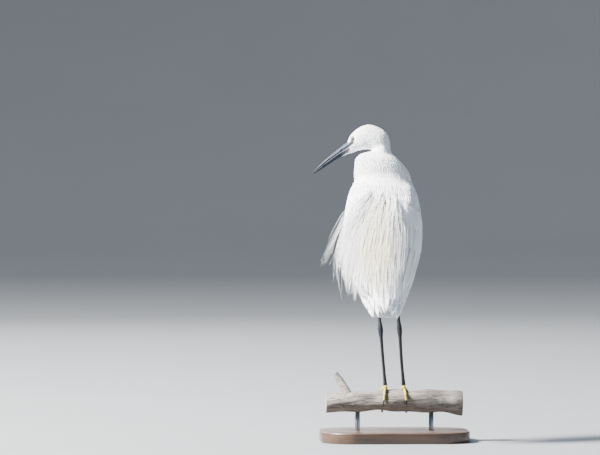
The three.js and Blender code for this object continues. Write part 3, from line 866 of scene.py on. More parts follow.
@dataclass(frozen=True)
class BarkFinish:
    """Weathered dead wood: grey, cracked along the grain, with sawn ends; the cracks carry painted shade.
    Pairs run from dark to pale.
    """

    name: str = "dead_wood"
    wood: tuple[Colour, Colour] = (rgb(0.075, 0.062, 0.052), rgb(0.30, 0.27, 0.24))
    worn: Colour = rgb(0.38, 0.36, 0.33)
    # near-black painted shade for the cracks
    crack: Colour = rgb(0.03, 0.024, 0.02)
    cut: tuple[Colour, Colour] = (rgb(0.20, 0.145, 0.095), rgb(0.47, 0.39, 0.29))

    def material(self) -> Material:
        """Builds the finish.

        Returns:
            The material.
        """
        make = Surface(self.name)
        grain = make.noise(make.place((0.09, 1.0, 1.0)), 420.0, 6.0, 0.65)
        patch = make.noise(make.place(), 38.0, 5.0, 0.6)
        lines = make.noise(make.place((0.035, 1.0, 1.0)), 230.0, 3.0)
        split = make.math("ABSOLUTE", make.less(lines, 0.5))
        crack = make.less(1.0, make.over(split, 0.022), True)
        wood = make.blend(make.times(make.less(grain, 0.3), 2.0, True), *self.wood)
        worn = make.times(make.less(patch, 0.5), 3.0, True)
        wood = make.blend(make.times(worn, 0.6), wood, self.worn)
        # painted shade: the cracks are only bumps, and a near-black colour stands in for the shade inside
        # them
        wood = make.blend(make.times(crack, 0.75), wood, self.crack)
        rings = make.math("SINE", make.times(make.mark("across"), 70.0))
        cut = make.blend(make.plus(make.times(rings, 0.3), patch, True), *self.cut)
        height = make.less(make.plus(grain, make.times(patch, 0.5)), crack)
        return make.done({
            "Base Color": make.blend(make.mark("sawn"), wood, cut),
            "Roughness": make.plus(0.75, make.times(grain, 0.2)), "Normal": make.bump(height, 0.9, 0.0012)})


@dataclass(frozen=True)
class BoardFinish:
    """A dark varnished board with a straight grain."""

    name: str = "stand_wood"
    dark: Colour = rgb(0.020, 0.010, 0.006)
    pale: Colour = rgb(0.095, 0.048, 0.025)

    def material(self) -> Material:
        """Builds the finish.

        Returns:
            The material.
        """
        make = Surface(self.name)
        long = make.place((0.06, 1.0, 0.6))
        grain = make.noise(long, 210.0, 7.0, 0.6)
        tone = make.plus(make.times(grain, 0.6), make.times(make.noise(long, 42.0), 0.5), True)
        sharp = make.times(make.less(tone, 0.35), 2.4, True)
        return make.done({
            "Base Color": make.blend(sharp, self.dark, self.pale),
            "Roughness": make.plus(0.30, make.times(grain, 0.25)), "Coat Weight": 0.35,
            "Coat Roughness": 0.18, "Normal": make.bump(grain, 0.25, 0.0004)})


@dataclass(frozen=True)
class SteelFinish:
    """Brushed steel rod."""

    name: str = "rod_steel"
    dark: Colour = rgb(0.28, 0.29, 0.30)
    pale: Colour = rgb(0.50, 0.51, 0.52)

    def material(self) -> Material:
        """Builds the finish.

        Returns:
            The material.
        """
        make = Surface(self.name)
        lines = make.noise(make.place((1.0, 1.0, 14.0)), 300.0, 4.0)
        return make.done({
            "Base Color": make.blend(lines, self.dark, self.pale),
            "Roughness": make.plus(0.25, make.times(lines, 0.2)), "Metallic": 1.0,
            "Normal": make.bump(lines, 0.15, 0.0002)})


@dataclass(frozen=True)
class EyeFinish:
    """A wet eye: dark pupil, pale iris with fine rays, dark edge. Along runs out from the pupil."""

    name: str = "eye"
    pupil: float = 0.47
    iris: float = 0.83
    rays: int = 46
    hole: Colour = rgb(0.004, 0.004, 0.005)
    pale: tuple[Colour, Colour] = (rgb(0.20, 0.22, 0.08), rgb(0.56, 0.56, 0.28))
    edge: Colour = rgb(0.035, 0.04, 0.04)

    def material(self) -> Material:
        """Builds the finish.

        Returns:
            The material.
        """
        make = Surface(self.name)
        out = make.mark("along")
        rays = make.math("SINE", make.times(make.mark("across"), 6.2832 * self.rays))
        tone = make.plus(make.times(rays, 0.14), make.mottle(700.0, 2500.0)[0], True)
        ring = make.over(make.less(out, self.iris - 0.1), 0.12)
        hole = make.less(1.0, make.over(make.less(out, self.pupil - 0.04), 0.06))
        colour = make.blend(ring, make.blend(tone, *self.pale), self.edge)
        return make.done({
            "Base Color": make.blend(hole, colour, self.hole), "Roughness": 0.18, "Specular IOR Level": 0.2,
            "Coat Weight": 0.35, "Coat Roughness": 0.03})


def shown(made: Object) -> Mesh:
    """A mesh of what an object's modifiers make of it."""
    return bpy.data.meshes.new_from_object(made.evaluated_get(bpy.context.evaluated_depsgraph_get()))


def shade_smooth(mesh: Mesh) -> None:
    """Shades every face of a mesh smooth."""
    mesh.polygons.foreach_set("use_smooth", np.ones(len(mesh.polygons), bool))


@dataclass
class Skin:
    """One skin for head, neck, torso, wings' flesh and thighs, a coat's depth inside the solids."""

    body_inset: float = 2.4
    neck_inset: float = 1.6
    head_inset: float = 0.7
    wing_rise: float = 2.6
    voxel: float = 1.7
    eye: tuple[float, float, float] = (46.5, 421.6, 7.2)

    def build(self) -> Object:
        """Makes the skin as one closed mesh with the numbers that the coat grows by.

        Returns:
            The skin, linked to the scene.
        """
        bundle = Bundle()
        for rings in (self.torso(), self.neck(), self.chin(), *self.thighs(), *self.wings(), self.rump()):
            bundle.add(rings[None])
        rough = bundle.mesh("skin_rough", bpy.data.materials.new("rough"), ())
        merge = rough.modifiers.new("merge", "REMESH")
        merge.mode, merge.voxel_size = "VOXEL", self.voxel * MM
        soften = rough.modifiers.new("soften", "SMOOTH")
        soften.factor, soften.iterations = 0.5, 9
        mesh = shown(rough)
        bpy.data.objects.remove(rough)
        mesh.name = "skin"
        mesh.materials.clear()
        mesh.materials.append(SkinFinish().material())
        shade_smooth(mesh)
        self.ease_fold(mesh)
        self.survey(mesh)
        return link("skin", mesh)

    def ease_fold(self, mesh: Mesh, rounds: int = 110) -> None:
        """Eases the fold where the back of the neck runs into the shoulders.

        Args:
            mesh: the skin.
            rounds: how often each point there moves toward its neighbours.
        """
        points = read(mesh.vertices, "co", 3).astype(float) / MM
        count = len(points)
        ends = read(mesh.edges, "vertices", 2)
        near = np.bincount(ends.ravel(), minlength=count)[:, None]
        a, b = ends.T
        up = points[:, 2] - PERCH_TOP
        share = 0.5 * ease(up, 318, 345) * (1 - ease(up, 372, 394)) * ease(points[:, 1], -96, -72)
        for _ in range(rounds):
            total = [np.bincount(a, axis[b], count) + np.bincount(b, axis[a], count) for axis in points.T]
            points = mix(points, np.stack(total, axis=1) / near, share[:, None])
        mesh.vertices.foreach_set("co", (points * MM).astype(np.float32).ravel())
        mesh.update()

    def torso(self) -> Array:
        """Rings of the torso."""
        down = np.linspace(0, FORM.torso_end, 40)[:, None]
        return domed(FORM.over_body(down, round_of(48, 360), -self.body_inset), 8.0, 5.0)

    def rump(self) -> Array:
        """Rings of the short root under the tail."""
        down, height = np.linspace(0.78, 0.93, 12)[:, None], np.linspace(-8, -9, 12)[:, None]
        return domed(FORM.over_body(down, round_of(24, 360), height), 3.0, 4.0)

    def neck(self) -> Array:
        """Lays out head and neck.

        Returns:
            Points shaped (rings, round, 3).
        """
        step = np.linspace(0, FORM.steps, 90)[:, None]
        inset = mix(self.head_inset, self.neck_inset, ease(step, 5, 9))
        return domed(FORM.over_head(step, round_of(48, 360), -inset), 5.0, 10.0)

    def chin(self) -> Array:
        """Rings of the chin that runs forward under the bill."""
        line = [FORM.on_head(38, 411), FORM.on_head(53, 402), FORM.on_head(69, 392)]
        return limb(line, lambda s: mix(7, 1.8, s) - 0.4, 14, 16)

    def thighs(self) -> list[Array]:
        """Rings of both feathered thighs."""
        lines = [[at(17 + h.value * 22, 16, 218), at(17 + h.value * 17, 12, 190), shin(h)] for h in Hand]
        return [limb(line, lambda x: mix(21, 6, x ** 0.8) - 1.6, 24, 24) for line in lines]

    def wings(self) -> list[Array]:
        """Lays out the flesh and small feathers of both folded wings.

        Returns:
            The rings of the left wing and of the right one.
        """
        down, share = np.linspace(0.05, 0.68, 26)[:, None], np.linspace(0, 1, 15)
        round_ = mix(Wing.top(down) + 3, Wing.low(down) - 4, share)
        crown = np.sin(np.pi * share) ** 0.6 * ease(down, 0.02, 0.16) * (1 - ease(down, 0.34, 0.68))
        made = []
        for hand in Hand:
            outer = FORM.over_body(down, hand.value * round_, self.wing_rise * crown - 0.6)
            inner = FORM.over_body(down, hand.value * round_, -7.0)
            made.append(np.concatenate([outer, inner[:, ::-1]], axis=1))
        return made

    def survey(self, mesh: Mesh) -> None:
        """Finds for each vertex which way feathers lie there, its place on the unwrap, and its zones.

        Args:
            mesh: the finished skin.
        """
        points = read(mesh.vertices, "co", 3).astype(float) / MM
        flat = points - at(FORM.neck_left, FORM.neck_forward, 0)
        b, z = flat @ FORM.to_bill, flat[:, 2]
        steps = np.linspace(0, FORM.steps, 113)
        spot = FORM.on_head(*(FORM.head[key](steps) for key in ("reach", "rise", "near")))
        size = np.sqrt(FORM.head["high"](steps) * FORM.head["wide"](steps))
        near_head = np.linalg.norm(points[:, None] - spot[None], axis=2) / size
        near_head[np.ix_((z > 402.6 - 0.32 * (b - 17.2)) & (b > 9), steps > 5)] = 99.0
        shares = np.linspace(0, 1, 101)
        line = FORM.spine.at(shares)
        size = np.sqrt(FORM.side(shares) * 0.5 * (FORM.back(shares) + FORM.belly(shares)))
        near_body = np.linalg.norm(points[:, None] - line[None], axis=2) / size
        hi, bi = near_head.argmin(1), near_body.argmin(1)
        step, share = steps[hi], shares[bi]
        weight = np.where(step < 8, 1.0, ease(near_body.min(1) - near_head.min(1), -0.12, 0.14))
        line_way = FORM.spine.way(shares)[bi]
        way = unit(mix(line_way, unit(np.gradient(spot, axis=0))[hi], weight[:, None]))
        off = points - spot[hi]
        angle = np.degrees(np.arctan2(off @ FORM.to_left, (off * FORM.upward(step)).sum(1)))
        side, back = across_of(line_way)
        off = points - line[bi]
        round_ = np.degrees(np.arctan2((off * side).sum(1), (off * back).sum(1)))
        root = np.where((weight > 0.5)[:, None], head_root(step, angle), body_root(share, round_))
        chin = (b > 30) & (z > 397 - 0.62 * (b - 45)) & (z < 412)
        way[chin] = -0.852 * FORM.to_bill + 0.522 * UP
        step = np.where(chin, 1.0, step)
        bare, rim = self.face(points, b, z, step < 2.5)
        clear = (bare < 0.3) & (b < 66)
        marks = {"bare": bare, "rim": rim, "root_u": root[:, 0], "root_v": root[:, 1],
                 "loft": np.where(weight > 0.97, 1.0, mix(0.3, 1.0, ease(share, 0.14, 0.36))),
                 "zone_face": clear & (step < 2.3), "zone_crown": clear & (step >= 2.0) & (step < 7.0),
                 "zone_neck": (step >= 6.6) & (weight > 0.2)}
        marks.update(self.body_zones((weight < 0.75) & (z > 150), share, round_))
        for key, values in marks.items():
            mark(mesh, key, values)
        mark(mesh, "lie", way, "FLOAT_VECTOR")
        mark(mesh, "out", read(mesh.vertices, "normal", 3), "FLOAT_VECTOR")
        lay_map(mesh, root)

    def face(self, points: Array, reach: Array, rise: Array, near: Array) -> tuple[Array, Array]:
        """Finds the bare skin of the face.

        Args:
            points: the skin's vertices.
            reach: how far each lies toward the bill.
            rise: how high each lies over the perch.
            near: whether each lies on the front of the head.

        Returns:
            How bare each is, and how much of the eye's dark rim it has.
        """
        along_bill = (reach - 47) * 0.80 - (rise - 417) * 0.60
        off_bill = (reach - 47) * 0.60 + (rise - 417) * 0.80
        eyes = [FORM.on_head(self.eye[0], self.eye[1], hand.value * self.eye[2]) for hand in Hand]
        eye = np.minimum(*(np.linalg.norm(points - centre, axis=1) for centre in eyes))
        bare = ease(along_bill, -3.0, 0.5) * (1 - ease(np.abs(off_bill + 0.2), 2.6, 4.4)) * near
        return np.maximum(bare, (1 - ease(eye, 4.8, 5.6)) * near), (1 - ease(eye, 4.4, 5.2)) * near

    def body_zones(self, on_body: Array, share: Array, round_: Array) -> dict[str, Array]:
        """Finds the coat's zones below the neck.

        Args:
            on_body: whether each vertex lies there.
            share: how far down the body each lies.
            round_: degrees round from the middle of the back to the left.

        Returns:
            Whether each vertex is in a zone, by the zone's name.
        """
        around = np.abs(round_)
        top, low = Wing.top(share), Wing.low(share)
        free = on_body & ~((around > top + 9) & (around < low - 14) & (share > 0.44))
        on_wing = (around > top - 6) & (around < low - 6)
        return {"zone_back": free & (around < 95) & (round_ >= 0),
                "zone_back_right": free & (around < 95) & (round_ < 0),
                "zone_belly": free & (around >= 90),
                "zone_mantle": on_body & (around < 40) & (share > 0.14) & (share < 0.42),
                "zone_wing": on_body & on_wing & (share > 0.2) & (share < 0.38)}


class MeshTree:
    """A geometry node tree with named inputs, run on an object to make a coat piece."""

    def __init__(self, name: str, kinds: dict[str, str]) -> None:
        """Starts the tree.

        Args:
            name: its name.
            kinds: what each of its inputs takes, by name.
        """
        self.tree = bpy.data.node_groups.new(name, "GeometryNodeTree")
        add = self.tree.interface.new_socket
        add("Geometry", in_out="OUTPUT", socket_type="NodeSocketGeometry")
        add("Geometry", in_out="INPUT", socket_type="NodeSocketGeometry")
        self.inputs = {}
        for key, kind in kinds.items():
            self.inputs[key] = add(key, in_out="INPUT", socket_type=f"NodeSocket{kind}").identifier
        self.make = Nodes(self.tree)
        self.given = self.make.add("NodeGroupInput").outputs

    def end(self, geometry: Socket) -> None:
        """Sets the material and ends the tree."""
        made = self.make.add("GeometryNodeSetMaterial", {0: geometry, "Material": self.given["Finish"]})
        self.make.add("NodeGroupOutput", {0: made.outputs[0]})

    def run(self, source: Object, name: str, values: dict[str, object]) -> Object:
        """Runs the tree.

        Args:
            source: the object it works on.
            name: the new piece's name.
            values: the tree's inputs by name.

        Returns:
            What it makes, as one plain mesh.
        """
        modifier = source.modifiers.new("tree", "NODES")
        modifier.node_group = self.tree
        for key, value in values.items():
            modifier[self.inputs[key]] = value
        mesh = shown(source)
        source.modifiers.remove(modifier)
        return plain(mesh, name)


class CoatTree(MeshTree):
    """Sets small feathers all over one zone of the skin, each along the skin's lie and close to it."""

    def __init__(self) -> None:
        """Builds the tree."""
        super().__init__("coat", {
            "Feather": "Object", "Zone": "String", "Spacing": "Float", "Size": "Float", "Spread": "Float",
            "Hug": "Float", "Seed": "Int", "Finish": "Material"})
        self.end(self.close(self.placed(self.spots())))

    def spots(self) -> Node:
        """Scatters the roots.

        Returns:
            The node that gives the zone's points, evenly apart, and the skin's normals there.
        """
        make, given = self.make, self.given
        zone = {0: make.named(given["Zone"]), 1: 0.5}
        chosen = make.add("FunctionNodeCompare", zone, data_type="FLOAT", operation="GREATER_THAN")
        spots = make.add("GeometryNodeDistributePointsOnFaces", distribute_method="POISSON")
        make.feed(spots, {"Mesh": given["Geometry"], "Selection": chosen.outputs[0], "Seed": given["Seed"],
                          "Distance Min": given["Spacing"], "Density Max": 900000.0})
        return spots

    def placed(self, spots: Node) -> Socket:
        """Sets a feather on each point.

        Args:
            spots: the node that gives the points.

        Returns:
            The feathers as real mesh, each with a tone of its own.
        """
        make, given = self.make, self.given
        lie, seed = make.named("lie", "FLOAT_VECTOR"), given["Seed"]
        stand = make.add("FunctionNodeAlignRotationToVector", {"Vector": spots.outputs["Normal"]}, axis="Z")
        laid = make.add("FunctionNodeAlignRotationToVector", {"Rotation": stand.outputs[0], "Vector": lie},
                        axis="Y", pivot_axis="Z")
        low, high = (make.scaled(way, given["Spread"]) for way in ((0.0, 0.0, -1.0), (0.4, 0.0, 1.0)))
        limits = {0: low, 1: high, "Seed": seed}
        jitter = make.add("FunctionNodeRandomValue", limits, data_type="FLOAT_VECTOR")
        turn = make.add("FunctionNodeEulerToRotation", {0: jitter.outputs[0]}).outputs[0]
        turned = make.add("FunctionNodeRotateRotation", {0: laid.outputs[0], 1: turn}, rotation_space="LOCAL")
        shade = make.chance(0.0, 1.0, make.plus(seed, 3.0))
        toned = make.add("GeometryNodeStoreNamedAttribute",
                         {0: spots.outputs["Points"], "Name": "tone", "Value": shade}, data_type="FLOAT")
        shape = make.add("GeometryNodeObjectInfo", {"Object": given["Feather"]}).outputs["Geometry"]
        placed = make.add("GeometryNodeInstanceOnPoints", {
            "Points": toned.outputs[0], "Instance": shape, "Rotation": turned.outputs[0],
            "Scale": make.times(make.chance(0.8, 1.2, seed), given["Size"])})
        return make.add("GeometryNodeRealizeInstances", {0: placed.outputs[0]}).outputs[0]

    def close(self, feathers: Socket) -> Socket:
        """Draws the feathers close to the skin.

        Args:
            feathers: the feathers as mesh.

        Returns:
            The same ones, each point at its own height over the skin where the hug is whole.
        """
        make, given = self.make, self.given
        here = make.add("GeometryNodeInputPosition").outputs[0]
        out = make.named("out", "FLOAT_VECTOR")
        under, away = (make.add("GeometryNodeSampleNearestSurface", {0: given["Geometry"], 1: value, 3: here},
                                data_type="FLOAT_VECTOR").outputs[0] for value in (here, out))
        lifted = make.scaled(away, make.times(make.named("rise"), make.named("loft")))
        laid_on = make.add("ShaderNodeVectorMath", {0: under, 1: lifted}, operation="ADD").outputs[0]
        blend = make.add("ShaderNodeMix", {0: given["Hug"], 4: here, 5: laid_on}, data_type="VECTOR")
        return make.add("GeometryNodeSetPosition", {0: feathers, 2: blend.outputs[1]}).outputs[0]


class StrandTree(MeshTree):
    """Turns guide lines into thin tapered strands."""

    def __init__(self) -> None:
        """Builds the tree."""
        super().__init__("strands", {"Thickness": "Float", "Finish": "Material"})
        make, given = self.make, self.given
        scale = make.times(make.named("thin"), given["Thickness"])
        lines = make.add("GeometryNodeMeshToCurve", {0: given["Geometry"]}).outputs[0]
        ring = make.add("GeometryNodeCurvePrimitiveCircle", {"Resolution": 3, "Radius": 1.0}).outputs[0]
        tubes = make.add("GeometryNodeCurveToMesh", {0: lines, 1: ring, "Scale": scale, "Fill Caps": True})
        self.end(make.add("GeometryNodeRealizeInstances", {0: tubes.outputs[0]}).outputs[0])

    def spin(self, name: str, finish: Material, thickness: float, lines: Array, thin: Array, tone: Array,
             root: Array, warm: Array | float = 0.0) -> Object:
        """Makes strands along guide lines.

        Args:
            name: the new piece's name.
            finish: the material.
            thickness: the radius at the root, in millimetres.
            lines: guides shaped (strands, points, 3), in millimetres.
            thin: the thickness along each, as a share.
            tone: one number a strand, for its shade.
            root: each root's place on the unwrapped skin, shaped (strands, 2).
            warm: one number a strand, for how cream it is.

        Returns:
            The strands as one plain mesh.
        """
        n, s, _ = lines.shape
        mesh = bpy.data.meshes.new(name)
        first = (np.arange(n) * s)[:, None] + np.arange(s - 1)
        edges = np.stack([first, first + 1], axis=-1).reshape(-1, 2)
        mesh.vertices.add(n * s)
        mesh.vertices.foreach_set("co", (lines * MM).astype(np.float32).ravel())
        mesh.edges.add(len(edges))
        mesh.edges.foreach_set("vertices", edges.astype(np.int32).ravel())
        marks = {"thin": thin, "along": np.linspace(0, 1, s), "across": 0.3, "tone": tone[:, None],
                 "warm": np.reshape(warm, (-1, 1)), "root_u": root[:, :1], "root_v": root[:, 1:]}
        for key, values in marks.items():
            mark(mesh, key, np.broadcast_to(values, (n, s)))
        guide = link(name + "_guides", mesh)
        made = self.run(guide, name, {"Thickness": thickness * MM, "Finish": finish})
        bpy.data.objects.remove(guide)
        return made


def plain(mesh: Mesh, name: str) -> Object:
    """Turns a mesh that a node tree made into a finished coat piece with its OFBake map.

    Args:
        mesh: the mesh, with its numbers at each vertex.
        name: the piece's name.

    Returns:
        The object, linked to the scene.
    """
    mesh.name = name
    for layer in list(mesh.uv_layers):
        mesh.uv_layers.remove(layer)
    lay_patches(mesh)
    spent = ("lie", "out", "rise", "loft", "bare", "rim", "thin")
    for key in [a.name for a in mesh.attributes if a.name.startswith("zone_") or a.name in spent]:
        mesh.attributes.remove(mesh.attributes[key])
    shade_smooth(mesh)
    return link(name, mesh)


def feather_shape(name: str, length: float, width: float, lift: float, rows: int) -> Object:
    """Makes a small closed feather that lies along +Y, each point marked with its height over the skin.

    Args:
        name: the object's name.
        length: from root to tip, in millimetres.
        width: at its widest.
        lift: how far its tip stands off the skin.
        rows: how many lengths it is cut into.

    Returns:
        The feather.
    """
    s = np.linspace(0, 1, rows + 1)
    wide = width * (0.4 + 0.6 * np.sin(np.pi * np.clip(s * 1.15, 0, 1) ** 0.9))
    wide = wide * (1 - 0.88 * ease(s, 0.55, 1.0))
    x = np.array([-0.5, 0, 0.5, 0])
    thick = 0.09 * width * np.array([0, 1, 0, -0.3])
    rise = (-0.12 + lift * s)[:, None] + thick - 0.12 * width * (2 * x) ** 2 * (1 - 0.5 * s)[:, None]
    bundle = Bundle()
    bundle.add(np.stack([wide[:, None] * x, (s * length)[:, None] + 0 * x, rise], axis=-1)[None], x + 0.5)
    made = bundle.mesh(name, bpy.data.materials.new(name), ("along", "across"))
    mark(made.data, "rise", rise * MM)
    return made


def drop_torn(made: Object, block: int, ring: int, limit: float) -> None:
    """Deletes feathers that span a crease, with one end drawn to either side of it.

    Args:
        made: a mesh of feathers that all have the same vertices.
        block: how many vertices each has.
        ring: how many vertices go round it.
        limit: the longest step from ring to ring that a sound feather has, in millimetres.
    """
    rings = read(made.data.vertices, "co", 3).reshape(-1, block // ring, ring, 3)
    torn = (np.linalg.norm(np.diff(rings, axis=1), axis=3) > limit * MM).any(axis=(1, 2))
    edit = bmesh.new()
    edit.from_mesh(made.data)
    edit.verts.ensure_lookup_table()
    gone = np.flatnonzero(np.repeat(torn, block))
    bmesh.ops.delete(edit, geom=[edit.verts[i] for i in gone], context="VERTS")
    edit.to_mesh(made.data)
    edit.free()


@dataclass(frozen=True)
class Plot:
    """How feathers grow on one zone of the skin: sizes in millimetres, spread a random turn in radians."""

    zone: str
    spacing: float
    length: float
    width: float
    lift: float
    rows: int
    spread: float


@dataclass
class Coat:
    """The small feathers of head and body. Torn is how far a feather's lengths may be drawn out."""

    zones: tuple[Plot, ...] = (
        Plot("face", 0.95, 4.2, 1.15, 0.34, 3, 0.13),
        Plot("crown", 1.25, 8.5, 1.5, 0.42, 4, 0.09),
        Plot("neck", 1.75, 14.0, 2.1, 0.5, 5, 0.09),
        Plot("back", 2.4, 18.0, 3.0, 0.75, 5, 0.08),
        Plot("back_right", 2.4, 18.0, 3.0, 0.75, 5, 0.08),
        Plot("belly", 2.9, 20.0, 3.6, 1.0, 5, 0.11),
        Plot("mantle", 2.1, 30.0, 1.7, 4.2, 7, 0.08),
        Plot("wing", 3.0, 24.0, 4.6, 3.6, 6, 0.07),
    )
    hug: float = 0.92
    torn: float = 2.4

    def build(self, skin: Object, finish: Material) -> None:
        """Grows every zone and keeps the pieces.

        Args:
            skin: the skin the feathers stand on.
            finish: their material.
        """
        tree = CoatTree()
        for seed, plot in enumerate(self.zones, start=5):
            shape = feather_shape(plot.zone + "_shape", plot.length, plot.width, plot.lift, plot.rows)
            made = tree.run(skin, "feathers_" + plot.zone, {
                "Feather": shape, "Zone": "zone_" + plot.zone, "Spacing": plot.spacing * MM, "Size": 1.0,
                "Spread": plot.spread, "Hug": self.hug, "Seed": seed, "Finish": finish})
            drop_torn(made, len(shape.data.vertices), 4, self.torn * plot.length / plot.rows)
            keep(made, "plumage")
            bpy.data.objects.remove(shape)


@dataclass(frozen=True)
class VaneRow:
    """One tier of vanes on a wing. Low and high are (down, round) of its lowest and its highest vane."""

    count: int
    low_root: tuple[float, float]
    high_root: tuple[float, float]
    low_tip: tuple[float, float]
    high_tip: tuple[float, float]
    width: float
    lie: float
    blunt: float


@dataclass
class Wing:
    """A folded wing: quills in tiers and the coverts over them, the under ones first."""

    hand: Hand
    tilt: float = 6.5
    quills: tuple[VaneRow, ...] = (
        VaneRow(9, (0.46, 108), (0.56, 60), (0.87, 97), (1.02, 50), 16.0, 1.4, 2.2),
        VaneRow(14, (0.38, 114), (0.46, 30), (0.72, 106), (1.015, 26), 17.0, 2.8, 2.2),
        VaneRow(8, (0.32, 78), (0.36, 26), (0.78, 66), (1.0, 14), 21.0, 4.0, 2.2),
        VaneRow(2, (0.34, 24), (0.36, 6), (0.97, 16), (0.995, 2), 22.0, 5.2, 3.0),
    )
    coverts: tuple[VaneRow, ...] = (
        VaneRow(17, (0.30, 117), (0.29, 26), (0.52, 113), (0.60, 22), 13.0, 4.4, 2.0),
        VaneRow(19, (0.24, 118), (0.22, 26), (0.41, 117), (0.46, 24), 11.5, 4.9, 2.0),
    )
    top = staticmethod(Track([(0.045, 66), (0.12, 42), (0.25, 29), (0.5, 23), (0.8, 17)]))
    low = staticmethod(Track([(0.045, 84), (0.12, 112), (0.25, 122), (0.5, 117), (0.7, 100), (0.8, 88)]))

    def rows(self, rows: tuple[VaneRow, ...], seed: int, segments: int) -> Bundle:
        """Lays tiers of vanes.

        Args:
            rows: the tiers.
            seed: for the small differences between vanes.
            segments: how many lengths a vane is cut into.

        Returns:
            The vanes, gathered.
        """
        draw = np.random.default_rng(seed + self.hand.value)
        bundle = Bundle()
        s = np.linspace(0, 1, segments + 1)[None, :]
        for row in rows:
            share = np.linspace(0, 1, row.count)[:, None]
            shake = draw.normal(0, 1, (4, row.count, 1))
            down0, round0 = (mix(low, high, share) for low, high in zip(row.low_root, row.high_root))
            down1 = mix(row.low_tip[0], row.high_tip[0], share) + 0.008 * shake[0]
            round1 = mix(row.low_tip[1], row.high_tip[1], share) + 1.1 * shake[1]
            height = mix(-2.5, row.lie, ease(s, -0.1, 0.45)) + 0.25 * shake[2] * s + 0.4 * s ** 3
            down, round_ = mix(down0, down1, s), self.hand.value * mix(round0, round1, s ** 0.9)
            points = FORM.over_body(down, round_, height)
            face = unit(FORM.over_body(down, round_, height + 2.0) - points)
            tip = np.clip(1 - s ** (2 * row.blunt), 0.012, 1) ** 0.62
            width = row.width * (0.62 + 0.38 * ease(s, 0, 0.35)) * tip
            tilt = self.hand.value * math.radians(self.tilt) + 0.02 * shake[3, :, 0]
            rings = vane_rings(points, face, width, 0.5 * (1 - 0.5 * s), tilt, 0.05)
            bundle.add(rings, VANE_ACROSS, draw.uniform(0, 1, row.count), body_root(down[:, 0], round_[:, 0]))
        return bundle

    def build(self, finish: Material) -> None:
        """Makes the quills and the coverts.

        Args:
            finish: their material.
        """
        word = self.hand.word
        keep(self.rows(self.quills, 31, 12).mesh(f"quills_{word}", finish), "plumage", f"wing_{word}")
        keep(self.rows(self.coverts, 47, 7).mesh(f"coverts_{word}", finish), "plumage", f"wing_{word}")


@dataclass
class Tail:
    """The short square tail, its quills fanned a little and the middle ones on top."""

    count: int = 12
    spread: float = 10.0
    fan: float = 6.0
    width: float = 12.0
    thick: float = 0.6
    root: float = 0.86
    tip: float = 0.99

    def build(self, finish: Material) -> None:
        """Makes the quills.

        Args:
            finish: their material.
        """
        ahead = FORM.spine.way(self.root)
        left, back = across_of(ahead)
        share = np.linspace(-1, 1, self.count)[:, None]
        s = np.linspace(0, 1, 11)[None, :]
        run = mix(-4.0, (self.tip - self.root) * FORM.spine.length - 5 * share ** 2, s)
        aside = mix(self.spread, self.spread + self.fan, s) * share
        over = (4.6 * (1 - np.abs(share)) - 2.4 + 0.35 * np.sign(share)) * mix(0.4, 1.0, s)
        points = (FORM.spine.at(self.root) + run[..., None] * ahead + aside[..., None] * left
                  + over[..., None] * back)
        width = self.width * np.sqrt(np.clip(1 - s ** 9, 0.03, 1))
        face = np.broadcast_to(back, points.shape)
        bundle = Bundle()
        bundle.add(vane_rings(points, face, width, self.thick, -0.05 * share[:, 0], 0.04), VANE_ACROSS,
                   np.linspace(0, 1, self.count) ** 2, body_root(np.full(self.count, 0.9), 20 * share[:, 0]))
        keep(bundle.mesh("tail_quills", finish), "plumage", "tail")


